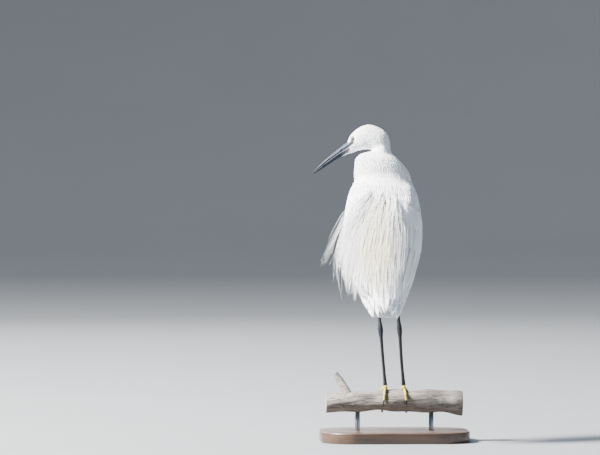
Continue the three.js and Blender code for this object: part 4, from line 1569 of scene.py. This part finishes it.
@dataclass
class BackPlumes:
    """The long loose plumes of the back: bunches of fine strands over the wings, most to the left."""

    bunches: int = 220
    strands: int = 15
    under_count: int = 90
    root: tuple[float, float] = (0.17, 0.42)
    root_spread: float = 26.0
    heights: tuple[float, float] = (6.5, 11.5)
    spreads: tuple[float, float, float] = (4.2, 1.1, 1.6)
    thickness: float = 0.34

    def paths(self, share: Array, layer: Array, draw: Draw, s: Array) -> tuple[Array, ...]:
        """Works out where bunches run over the body.

        Args:
            share: each bunch's place from right to left, from 0 to 1.
            layer: each bunch's place from under to over, from 0 to 1.
            draw: the source of small differences.
            s: places along a bunch, shaped (1, points).

        Returns:
            Down, round and height for each bunch and place.
        """
        shake = draw.normal(0, 1, (5, len(share), 1))
        share, layer = share[:, None], layer[:, None]
        root = mix(self.root[1], self.root[0], layer) - 0.05 * np.abs(share - 0.4) + 0.012 * shake[0]
        start = mix(-self.root_spread, self.root_spread, share)
        end = mix(-36.0, 98.0, np.clip(share, 0, 1) ** 1.15) + 3.0 * shake[1]
        long = 0.49 + 0.035 * shake[2] - 0.15 * np.maximum(share - 0.5, 0)
        long = long - 0.08 * np.maximum(0.25 - share, 0)
        round_ = start + (end - start) * s ** 1.1 + 1.6 * np.sin(s * (4 + shake[3]) + 3 * shake[4]) * s
        lie = mix(self.heights[0], self.heights[1], layer) + 1.5 * share
        loose = 10.5 * ease(share, 0.45, 1.0) + 2.0 + 1.5 * np.abs(shake[3])
        loose = loose * 4 * np.maximum(s - 0.55, 0) ** 2
        return root + long * s, round_, mix(-4.0, lie, ease(s, -0.05, 0.46)) + loose

    def build(self, tree: StrandTree, finish: Material, vane_finish: Material) -> None:
        """Makes the bunches in two pieces, and the flat under plumes beneath them.

        Args:
            tree: what turns guides into strands.
            finish: the strands' material.
            vane_finish: the under plumes' material.
        """
        draw = np.random.default_rng(71)
        self.under(draw, vane_finish)
        s = np.linspace(0, 1, 14)[None, :]
        thin = mix(0.45, 1.0, ease(s, 0, 0.3)) * (1 - 0.8 * s ** 1.3)
        count = self.bunches // 2
        for part in range(2):
            share = (np.arange(count) + draw.uniform(0, 1, count)) / count
            layer = draw.uniform(0.0, 1.0, count) * 0.6 + 0.4 * part
            paths = self.paths(share, layer, draw, s)
            strands = [self.strand(paths, draw, s) for _ in range(self.strands)]
            lines, tone, warm, root = (np.concatenate(values) for values in zip(*strands))
            name = f"plumes_back_{part + 1}"
            keep(tree.spin(name, finish, self.thickness, lines, thin, tone, root, warm), "plumage", "torso")

    def strand(self, paths: tuple[Array, ...], draw: Draw, s: Array) -> tuple[Array, ...]:
        """Lays one strand in every bunch.

        Args:
            paths: down, round and height for each bunch and place.
            draw: the source of small differences.
            s: places along a bunch, shaped (1, points).

        Returns:
            The strands' points, tones, warmths and roots.
        """
        count = len(paths[0])
        aside, lift, curl = (draw.normal(0, spread, (count, 1)) for spread in self.spreads)
        start, long = draw.uniform(0, 0.16, (count, 1)), draw.uniform(0.5, 1.1, (count, 1))
        along = start + s * (long - start)
        down, round_, height = (
            np.stack([np.interp(a, s[0], row) for a, row in zip(along, rows)]) for rows in paths)
        wave = aside * ease(along, 0, 0.8) + curl * np.sin(along * 6 + aside)
        sink = mix(-5.0, 0.0, ease(s, -0.02, 0.22))
        points = FORM.over_body(down, round_ + wave, height + lift * ease(along, 0, 0.5) + sink)
        middle = np.clip(1.15 - np.abs(round_[:, 8] - 10) / 30, 0, 1)
        warm = middle * np.clip(1.2 - np.abs(down[:, 8] - 0.62) / 0.3, 0, 1)
        return points, draw.uniform(0, 1, count), warm, body_root(down[:, 0], round_[:, 0])

    def under(self, draw: Draw, finish: Material) -> None:
        """Makes the flat narrow plumes that close the mantle under the loose strands.

        Args:
            draw: the source of small differences.
            finish: their material.
        """
        count = self.under_count
        s = np.linspace(0, 1, 13)[None, :]
        down, round_, height = self.paths(np.linspace(0, 1, count), draw.uniform(0, 0.45, count), draw, s)
        points = FORM.over_body(down, round_, height - 1.0)
        face = unit(FORM.over_body(down, round_, height + 2.0) - points)
        width = 5.0 * (0.5 + 0.5 * ease(s, 0, 0.3)) * (1 - 0.86 * s ** 1.8)
        rings = vane_rings(points, face, width, 0.5 * (1 - 0.5 * s), 0.05 * draw.normal(0, 1, count), 0.08)
        bundle = Bundle()
        bundle.add(rings, VANE_ACROSS, draw.uniform(0, 1, count), body_root(down[:, 0], round_[:, 0]))
        keep(bundle.mesh("plumes_under", finish), "plumage", "torso")


@dataclass
class LoosePlumes:
    """Stray plumes that blow free of the left wing. Each is (root, lift, place at the edge, end)."""

    strays: tuple[tuple[float, float, float, tuple[float, float, float]], ...] = (
        (0.29, 15.4, 0.42, (122, -12, 204)), (0.32, 16.2, 0.5, (101, -34, 172)),
        (0.35, 17.0, 0.58, (80, -56, 152)))
    strands: int = 11
    thickness: float = 0.3

    def build(self, tree: StrandTree, finish: Material) -> None:
        """Makes the strands of each stray plume.

        Args:
            tree: what turns guides into strands.
            finish: their material.
        """
        draw = np.random.default_rng(19)
        s = np.linspace(0, 1, 22)
        lines, root = [], []
        for down, lift, edge, end in self.strays:
            line = Line([FORM.over_body(down, 17, -4), FORM.over_body(down + 0.03, 30, lift),
                         FORM.over_body(mix(down, edge, 0.55), 56, lift), FORM.over_body(edge, 80, lift),
                         at(*end)])
            for _ in range(self.strands):
                points = line.at(s * draw.uniform(0.66, 1.0))
                fall = draw.normal(0, 1, 3) * np.array([4.6, 3.0, 8.0])
                sway = np.outer(np.sin(s * draw.uniform(5, 9)), draw.normal(0, 0.7, 3))
                apart = draw.normal(0, 1, 3) * np.array([3.0, 0.6, 5.0])
                points = points + fall * ease(s, 0.2, 1.0)[:, None] + sway
                lines.append(points + apart * ease(s, 0, 0.3)[:, None])
                root.append(body_root(down, 17.0))
        thin = mix(0.4, 1.0, ease(s, 0, 0.4)) * (1 - 0.8 * s ** 1.2)
        tone = draw.uniform(0, 1, len(lines))
        made = tree.spin("plumes_stray", finish, self.thickness, np.stack(lines), thin, tone, np.stack(root))
        keep(made, "plumage")


@dataclass
class BreastPlumes:
    """Narrow plumes at the foot of the foreneck, hanging over the breast."""

    count: int = 34
    strands: int = 7
    spread: float = 26.0
    long: float = 0.24
    thickness: float = 0.5

    def build(self, tree: StrandTree, finish: Material) -> None:
        """Makes the strands.

        Args:
            tree: what turns guides into strands.
            finish: their material.
        """
        draw = np.random.default_rng(23)
        s = np.linspace(0, 1, 10)[None, :]
        count = self.count * self.strands
        share = np.repeat(np.linspace(-1, 1, self.count), self.strands)[:, None]
        share = share + draw.normal(0, 0.03, (count, 1))
        long = self.long * (0.55 + 0.45 * draw.uniform(0, 1, share.shape) - 0.25 * share ** 2)
        round_ = 180 + self.spread * share * (1 - 0.45 * s) + draw.normal(0, 1.3, share.shape) * s
        height = mix(2.0, 4.6, s) + 4.0 * s ** 2 + draw.uniform(0, 1.6, share.shape)
        points = FORM.over_body(0.015 + long * s, round_, height)
        root = body_root(np.full(count, 0.03), round_[:, 0])
        made = tree.spin("plumes_breast", finish, self.thickness, points, 1 - 0.75 * s ** 1.2,
                         draw.uniform(0, 1, count), root)
        keep(made, "plumage", "neck")


@dataclass
class Bill:
    """The dagger bill, in two halves that meet along the line of the mouth."""

    reach: float = 52.0
    rise: float = 409.7
    pitch: float = -35.5
    arch: float = 1.7
    long: float = 83.4
    top: Track = field(default_factory=lambda: Track([
        (0, 9), (0.2, 7.7), (0.45, 6.1), (0.7, 4.6), (0.88, 2.8), (1, 0.7)]))
    under: Track = field(default_factory=lambda: Track([
        (0, 8.2), (0.2, 7), (0.45, 5.6), (0.7, 4.2), (0.88, 2.5), (1, 0.5)]))
    side: Track = field(default_factory=lambda: Track([
        (0, 6.4), (0.2, 5.2), (0.45, 4), (0.7, 2.9), (0.88, 1.8), (1, 0.6)]))

    def __post_init__(self) -> None:
        """Works out where the bill starts and the ways along it and up from it."""
        pitch = math.radians(self.pitch)
        self.base = FORM.on_head(self.reach, self.rise)
        self.ahead = FORM.to_bill * math.cos(pitch) + UP * math.sin(pitch)
        self.upward = np.cross(self.ahead, FORM.to_left)

    def half(self, up: int) -> Array:
        """Lays out one half.

        Args:
            up: 1 for the upper half, -1 for the lower.

        Returns:
            Points shaped (rings, round, 3).
        """
        over = self.upward * up
        s = np.concatenate([np.linspace(-0.02, 0.9, 60), np.linspace(0.91, 1.0, 14)])[:, None]
        high = (self.top if up > 0 else self.under)(s)
        turn = np.radians(np.linspace(0, 180, 25))
        ridge = np.sign(np.cos(turn)) * np.abs(np.cos(turn)) ** 0.8
        rise = np.abs(np.sin(turn)) ** 0.92
        groove = 1 - 0.09 * np.exp(-(((rise - 0.62) / 0.09) ** 2)) * (up > 0) * (1 - ease(s, 0.35, 0.6))
        x, y = ridge * self.side(s) * groove, 0.16 + (high - 0.16) * rise
        centre = self.base + s * self.long * self.ahead + 4 * self.arch * up * s * (1 - s) * over
        return centre[:, None] + x[..., None] * FORM.to_left + y[..., None] * over

    def nostril(self, side: int) -> Array:
        """Lays out a nostril's slit.

        Args:
            side: 1 for the left, -1 for the right.

        Returns:
            Points shaped (rings, round, 3).
        """
        middle = self.base + 17 * self.ahead + 4.6 * self.upward + side * 4.95 * FORM.to_left
        s, turn = np.linspace(-1, 1, 12), round_of(12)
        size = np.sqrt(np.clip(1 - s ** 2, 0.01, 1))[:, None]
        return (middle + s[:, None, None] * 3.4 * self.ahead
                + (size * 0.55 * np.cos(turn))[..., None] * self.upward
                + (size * 0.5 * np.sin(turn))[..., None] * FORM.to_left)

    def build(self, upper: Material, lower: Material, slit: Material) -> None:
        """Makes both halves and the nostrils.

        Args:
            upper: the upper half's finish.
            lower: the lower half's finish.
            slit: the nostrils' finish, near-black as painted shade in the openings.
        """
        across = np.linspace(0, 1, 25)
        keep(solid("bill_upper_horn", upper, self.half(1), across=across), "bill_black", "bill_upper")
        keep(solid("bill_lower_horn", lower, self.half(-1), across=across), "bill_pale", "bill_lower")
        # the nostrils are near-black pieces that paint the shade of the openings onto the bill
        keep(solid("nostrils", slit, self.nostril(1), self.nostril(-1)), "bill_black")


@dataclass
class Eyes:
    """Both eyes with their lids."""

    reach: float = 46.5
    rise: float = 421.6
    near: float = 7.2
    radius: float = 4.4
    lid: tuple[float, float] = (3.75, 3.35)

    def build(self, finish: Material, lid_finish: Material) -> None:
        """Makes each eyeball and its ring of lids.

        Args:
            finish: the eye's material.
            lid_finish: the lids' material.
        """
        polar, turn = np.linspace(0.02, math.pi - 0.02, 40), round_of(48)
        size = (1 + 0.05 * np.exp(-((polar / 0.75) ** 2))) * self.radius
        for hand in Hand:
            out = unit(FORM.to_left * hand.value + FORM.to_bill * 0.18 + UP * 0.12)
            side = unit(np.cross(UP, out))
            up = np.cross(out, side)
            centre = FORM.on_head(self.reach, self.rise, hand.value * self.near)
            spoke = np.cos(turn)[None, :, None] * side + np.sin(turn)[None, :, None] * up
            rings = (centre + (np.cos(polar) * size)[:, None, None] * out
                     + (np.sin(polar) * size)[:, None, None] * spoke)
            made = solid(f"eyeball_{hand.word}", finish, rings, across=turn / (2 * np.pi))
            mark(made.data, "along", np.repeat(np.clip(polar / 1.05, 0, 1.4), len(turn)))
            keep(made, "iris", f"eye_{hand.word}")
            lids = self.lids(centre, out, side, up)
            keep(solid(f"lids_{hand.word}", lid_finish, lids, across=round_of(12, 1.0)), "plumage", "head")

    def lids(self, centre: Array, out: Array, side: Array, up: Array) -> Array:
        """Lays out a soft ring of skin round the eye, a little flatter above and below.

        Args:
            centre: the eye's middle.
            out: the way it looks.
            side: a way square to that.
            up: the way square to both.

        Returns:
            Points shaped (rings, round, 3).
        """
        turn, tube = np.linspace(0, 2 * np.pi, 41)[:, None, None], round_of(12)[None, :, None]
        around = np.cos(turn) * side * self.lid[0] + np.sin(turn) * up * self.lid[1]
        fat = 0.62 + 0.12 * np.sin(turn)
        return centre + around + out * 2.55 + unit(around) * fat * np.cos(tube) + out * fat * np.sin(tube)


def shin(hand: Hand) -> Array:
    """Where the bare leg leaves the thigh's feathers."""
    return at(17 + hand.value * 16 - 3, 5, 163)


def over_perch(left: Array, round_: Array, height: Array) -> Array:
    """Points over the perch.

    Args:
        left: millimetres along it to the left.
        round_: degrees round from its top to the front.
        height: millimetres over the wood.

    Returns:
        The points, in millimetres.
    """
    left, round_, height = np.broadcast_arrays(np.asarray(left, float), round_, height)
    share = left / 115.0
    turn = np.radians(round_)
    knots = 1 + 0.05 * np.sin(3 * turn + left * 0.06) + 0.05 * np.sin(left * 0.11 + 1.3)
    reach = PERCH_RADIUS * (1 - 0.12 * share) * knots + height
    forward = 10 * share ** 2 + reach * np.sin(turn)
    up = -PERCH_RADIUS - 5 * share ** 2 + reach * np.cos(turn)
    return np.stack([left, -forward, PERCH_TOP + up], axis=-1)


@dataclass
class Leg:
    """A bare leg, its foot wrapped over the perch, and four claws. Toes are (name, splay, length)."""

    hand: Hand
    foot_spread: float = 15.5
    toe: float = 2.3
    clear: float = 0.75
    toes: tuple[tuple[str, float, float], ...] = (
        ("outer", 24, 50), ("middle", 5, 56), ("inner", -13, 44), ("hind", 6, -30))
    claw: float = 12.0
    thick: Track = field(default_factory=lambda: Track([
        (0, 3), (0.3, 2.8), (0.385, 4.3), (0.425, 4.2), (0.49, 2.9), (0.7, 2.6), (0.9, 2.7), (1, 3.5)]))

    def build(self, leg_finish: Material, toe_finish: Material, claw_finish: Material) -> None:
        """Makes the leg, the foot and the claws.

        Args:
            leg_finish: the bare leg's material.
            toe_finish: the toes' material.
            claw_finish: the claws' material.
        """
        word, foot = self.hand.word, self.hand.value * self.foot_spread
        line = [shin(self.hand), at(foot + self.hand.value * 0.5 + 8.5, -14, 104), at(foot + 4, -6, 50),
                at(foot, 0, 7.6)]
        rings = limb(line, lambda x: self.thick(x) * (1 + 0.025 * np.abs(np.sin(x * 95))), 180, 20)
        shank = solid(f"shank_{word}", leg_finish, rings, across=np.linspace(0, 1, 20))
        keep(shank, "leg_black", f"leg_{word}")
        parts = [domed(limb([at(foot, -5, 4.4), at(foot, 6, 4.2)], lambda x: 3.3 + 0 * x, 12, 18), 2, 2)]
        for name, splay, long in self.toes:
            joints = 3 if name == "hind" else 5
            parts.append(domed(self.run(splay, 0, long, self.swell(joints), 70), 0.5, 0.6))
            way = math.copysign(1, long)
            start, end = long - way * 0.2, long + way * self.claw
            rings = self.run(splay, start, end, lambda x: mix(1.55, 0.3, x ** 0.9), 24)
            claw = solid(f"talon_{word}_{name}", claw_finish, rings, across=np.linspace(0, 1, 14))
            keep(claw, "claw_black", f"claw_{word}_{name}")
        keep(solid(f"toes_{word}", toe_finish, *parts), "toe_yellow", f"foot_{word}")

    def swell(self, joints: int) -> Callable[[Array], Array]:
        """A toe's radius along it, with so many joints."""
        return lambda x: (self.toe * (1 - 0.2 * x + 0.09 * np.cos(x * np.pi * 2 * joints))
                          * (1 + 0.02 * np.sin(x * 150)))

    def run(self, splay: float, start: float, end: float, radius: Callable[[Array], Array],
            steps: int) -> Array:
        """Lays out a toe or claw that follows the bark.

        Args:
            splay: degrees it turns out from the middle.
            start: millimetres from the foot's centre where it begins.
            end: where it ends.
            radius: gives the radius for shares of the way along.
            steps: how many lengths it is cut into.

        Returns:
            Points shaped (rings, round, 3).
        """
        out = np.linspace(start, end, steps + 1)
        size = radius(np.linspace(0, 1, steps + 1))
        left = self.hand.value * (self.foot_spread + np.abs(out) * math.sin(math.radians(splay)))
        round_ = np.degrees(out * math.cos(math.radians(splay)) / (PERCH_RADIUS + self.toe))
        middle = over_perch(left, round_, self.clear + size)
        side, up = across_of(unit(np.gradient(middle, axis=0)))
        turn = round_of(14)[None, :, None]
        spoke = np.sin(turn) * side[:, None] + np.cos(turn) * up[:, None]
        return middle[:, None] + size[:, None, None] * spoke


@dataclass
class Perch:
    """The cut length of dead branch with its broken side shoot. Caps are the shares of a sawn end's rings."""

    long: float = 230.0
    caps: tuple[float, ...] = (0.985, 0.8, 0.55, 0.3, 0.06)

    def build(self, finish: Material) -> None:
        """Makes the branch and the shoot.

        Args:
            finish: their material.
        """
        lefts, around = np.linspace(-self.long / 2, self.long / 2, 200), round_of(96, 360)
        rings = np.zeros((len(lefts), len(around), 3))
        for i, left in enumerate(lefts):
            for j, angle in enumerate(around):
                turn = math.radians(angle)
                spot = Vector((left * 0.02, math.cos(turn) * 2.2, math.sin(turn) * 2.2))
                rings[i, j] = over_perch(left, angle, -0.35 + 0.55 * noise.fractal(spot, 0.8, 2.1, 4))
        self.log_piece(rings, "branch", finish)
        line = [over_perch(76, 20, -10), over_perch(84, 28, 12), over_perch(98, 24, 36)]
        stub = limb(line, lambda s: mix(8.3, 4.8, s), 50, 40)
        for row in stub:
            middle = row.mean(0)
            for j, point in enumerate(row):
                grain = noise.fractal(Vector(point * 0.09), 0.9, 2.1, 4)
                row[j] = middle + (point - middle) * (1 + 0.07 * grain)
        self.log_piece(stub, "branch_shoot", finish)

    def log_piece(self, rings: Array, name: str, finish: Material) -> None:
        """Makes a run of bark rings with flat sawn ends that carry their growth rings.

        Args:
            rings: points shaped (rings, round, 3).
            name: the piece's name.
            finish: its material.
        """
        n, k, _ = rings.shape
        caps = np.array(self.caps)
        ends = (rings[0], rings[-1])
        first, last = (end.mean(0) + (end - end.mean(0)) * caps[:, None, None] for end in ends)
        made = solid(name, finish, np.concatenate([first[::-1], rings, last]))
        full = np.ones(len(caps))
        mark(made.data, "across", np.repeat(np.concatenate([caps[::-1], np.ones(n), caps]), k))
        mark(made.data, "sawn", np.repeat(np.concatenate([full, np.zeros(n), full]), k))
        keep(made, "dead_wood", "perch")


def level(flat: Array, height: float) -> Array:
    """Points of a ground plan at one height."""
    return np.column_stack([flat, np.full(len(flat), height)])


def circle(sides: int) -> Array:
    """A round ground plan of radius 1."""
    return np.column_stack([np.cos(round_of(sides)), np.sin(round_of(sides))])


@dataclass
class Stand:
    """The plain display stand: a board with rounded corners and two short rods."""

    long: float = 250.0
    deep: float = 180.0
    thick: float = 18.0
    corner: float = 60.0
    bevel: float = 2.0
    rod: float = 4.0
    spread: float = 62.0

    def board(self) -> Array:
        """Lays out the board.

        Returns:
            Its outlines from the middle of its foot, over the edge, to the middle of its top.
        """
        outline, normal = [], []
        for quarter, (x, y) in enumerate(((1, 1), (-1, 1), (-1, -1), (1, -1))):
            turn = np.linspace(0, np.pi / 2, 25) + quarter * np.pi / 2
            middle = np.array([x * (self.long / 2 - self.corner), y * (self.deep / 2 - self.corner)])
            way = np.stack([np.cos(turn), np.sin(turn)], axis=-1)
            outline.append(middle + way * self.corner)
            normal.append(way)
        outline, normal = np.vstack(outline), np.vstack(normal)
        top, bevel = self.thick, self.bevel
        edge = [(0, 40), (0, 1.2), (0.35, 0.35), (1.2, 0)]
        turns = np.linspace(0, np.pi / 2, 7)
        edge += [(top - bevel + bevel * math.sin(t), bevel - bevel * math.cos(t)) for t in turns]
        edge += [(top, 6), (top, 40)]
        rings = np.stack([level(outline - normal * inset, z) for z, inset in edge])
        return np.concatenate([rings, (rings[-1] * np.array([0.3, 0.3, 1.0]))[None]])

    def build(self, board: Material, steel: Material) -> None:
        """Makes the board and the rods.

        Args:
            board: the board's finish.
            steel: the rods' finish.
        """
        keep(solid("board", board, self.board()), "stand_wood", "stand_base")
        for hand in Hand:
            foot = over_perch(hand.value * self.spread, 0, 0)[:2]
            seat = over_perch(hand.value * self.spread, 180, -1.5)[2]
            heights = (self.thick - 0.2, self.thick + 0.3, self.thick + 1.0, seat)
            rings = np.stack([level(foot + self.rod * circle(40), height) for height in heights])
            made = solid(f"rod_{hand.word}", steel, rings)
            for polygon in made.data.polygons:
                polygon.use_smooth = abs(polygon.normal.z) < 0.5
            keep(made, "rod_steel", f"stand_rod_{hand.word}")


@dataclass
class Studio:
    """The pale floor, the soft lights and the camera. Middle is the bird's place in the picture's pixels."""

    azimuth: float = 178.0
    elevation: float = 1.2
    distance: float = 8.0
    pixel: float = 1.68
    across: float = 600.0
    middle: tuple[float, float] = (94.5, 162.5)
    aim: tuple[float, float, float] = (0.02, 0.0, 0.32)
    sky: Colour = rgb(0.46, 0.67, 1.0)
    sky_power: float = 0.37

    def build(self) -> None:
        """Makes the floor, lights, world and camera."""
        self.floor()
        self.camera()
        self.light("key", (4.4, 0.55, 4.2), 1.3, 4300.0, (1.0, 0.985, 0.95))
        self.light("fill", (-3.6, 3.0, 1.8), 2.6, 45.0, (0.58, 0.76, 1.0))
        self.light("top", (0.3, -1.0, 4.4), 2.6, 60.0, (0.90, 0.95, 1.0))
        self.light("front", (0.8, -4.2, 2.2), 2.2, 125.0, (0.93, 0.96, 1.0))
        world = bpy.data.worlds.new("studio")
        world.use_nodes = True
        Nodes(world.node_tree).feed(world.node_tree.nodes["Background"], {0: self.sky, 1: self.sky_power})
        bpy.context.scene.world = world

    def floor(self) -> None:
        """Makes a round pale floor that curves up far away."""
        profile = [(0.02, 0), (2, 0), (6, 0), (9, 0)]
        profile += [(9 + 6 * math.sin(t), 6 - 6 * math.cos(t)) for t in np.linspace(0.15, 1.35, 12)]
        rings = np.stack([level(r * circle(96), z) for r, z in profile]) / MM
        n, k, _ = rings.shape
        i, j = np.arange(n - 1)[:, None] * k, np.arange(k)[None]
        a, b = i + j, i + (j + 1) % k
        quads = np.stack([a, a + k, b + k, b], axis=-1).reshape(-1, 4)
        centre = [[0, t + 1, t + 2] for t in range(k - 2)]
        faces = np.vstack([quads[:, [0, 1, 2]], quads[:, [0, 2, 3]], centre])
        make = Surface("floor")
        tone = make.mottle(2.0, 40.0)[0]
        pale = make.blend(tone, rgb(0.165, 0.172, 0.18), rgb(0.185, 0.192, 0.20))
        material = make.done({"Base Color": pale, "Roughness": 0.85})
        piece("floor", rings.reshape(-1, 3), faces, material, {})

    def light(self, name: str, place: tuple[float, ...], size: float, power: float,
              colour: tuple[float, ...]) -> None:
        """Makes a square soft light aimed at the bird.

        Args:
            name: its name.
            place: where it stands, in metres.
            size: its side, in metres.
            power: in watts.
            colour: its colour.
        """
        data = bpy.data.lights.new(name, "AREA")
        data.size, data.energy, data.color = size, power, colour
        made = link(name, data)
        made.location = place
        made.rotation_euler = (Vector(self.aim) - Vector(place)).to_track_quat("-Z", "Y").to_euler()

    def camera(self) -> None:
        """Sets a long lens behind the bird, a little above it, with the bird right of the middle."""
        a, e = math.radians(self.azimuth), math.radians(self.elevation)
        back = Vector((math.sin(a) * math.cos(e), -math.cos(a) * math.cos(e), math.sin(e)))
        right = Vector((math.cos(a), math.sin(a), 0))
        aside, up = self.middle[0] * self.pixel * MM, (self.middle[1] * self.pixel + PERCH_TOP) * MM
        data = bpy.data.cameras.new("camera")
        data.sensor_width = 36.0
        data.lens = 36.0 * self.distance / (self.across * self.pixel * MM)
        data.clip_end = 100.0
        made = link("camera", data)
        made.location = right * -aside + Vector((0, 0, up)) + back * self.distance
        made.rotation_mode = "QUATERNION"
        made.rotation_quaternion = (-back).to_track_quat("-Z", "Y")
        bpy.context.scene.camera = made


def main() -> None:
    """Builds the egret, its perch and its stand, then the studio."""
    logging.basicConfig(level=logging.INFO, format="%(message)s")
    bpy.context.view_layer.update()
    feathers = FeatherFinish("feathers").material()
    vanes = FeatherFinish("vanes", rows=70.0, relief=0.5).material()
    plumes = FeatherFinish("plumes", warmth=1.0, shade=rgb(0.70, 0.72, 0.76), relief=0.1).material()
    skin = Skin().build()
    Coat().build(skin, feathers)
    keep(skin, "plumage", "torso", "neck", "head", "thigh_left", "thigh_right")
    strands = StrandTree()
    BackPlumes().build(strands, plumes, vanes)
    LoosePlumes().build(strands, plumes)
    BreastPlumes().build(strands, plumes)
    Tail().build(vanes)
    black = HornFinish("bill_black", rgb(0.006, 0.010, 0.016), rgb(0.019, 0.032, 0.054), 0.6).material()
    pale = HornFinish("bill_pale", rgb(0.007, 0.011, 0.021), rgb(0.22, 0.20, 0.22), 0.28).material()
    # near-black painted shade for the nostril openings
    slit = HornFinish("nostril", rgb(0.004, 0.004, 0.005), rgb(0.01, 0.01, 0.01)).material()
    Bill().build(black, pale, slit)
    lids = ScaleFinish("lids", rgb(0.006, 0.008, 0.01), rgb(0.03, 0.036, 0.038)).material()
    Eyes().build(EyeFinish().material(), lids)
    legs = ScaleFinish("leg_black", rgb(0.004, 0.005, 0.007), rgb(0.018, 0.020, 0.025), 46.0).material()
    toes = ScaleFinish("toe_yellow", rgb(0.30, 0.23, 0.02), rgb(0.62, 0.49, 0.06), 22.0).material()
    claws = HornFinish("claw_black", rgb(0.012, 0.011, 0.010), rgb(0.05, 0.045, 0.04), 0.4).material()
    for hand in Hand:
        Wing(hand).build(vanes)
        Leg(hand).build(legs, toes, claws)
    Perch().build(BarkFinish().material())
    Stand().build(BoardFinish().material(), SteelFinish().material())
    Studio().build()


if __name__ == "__main__":
    main()
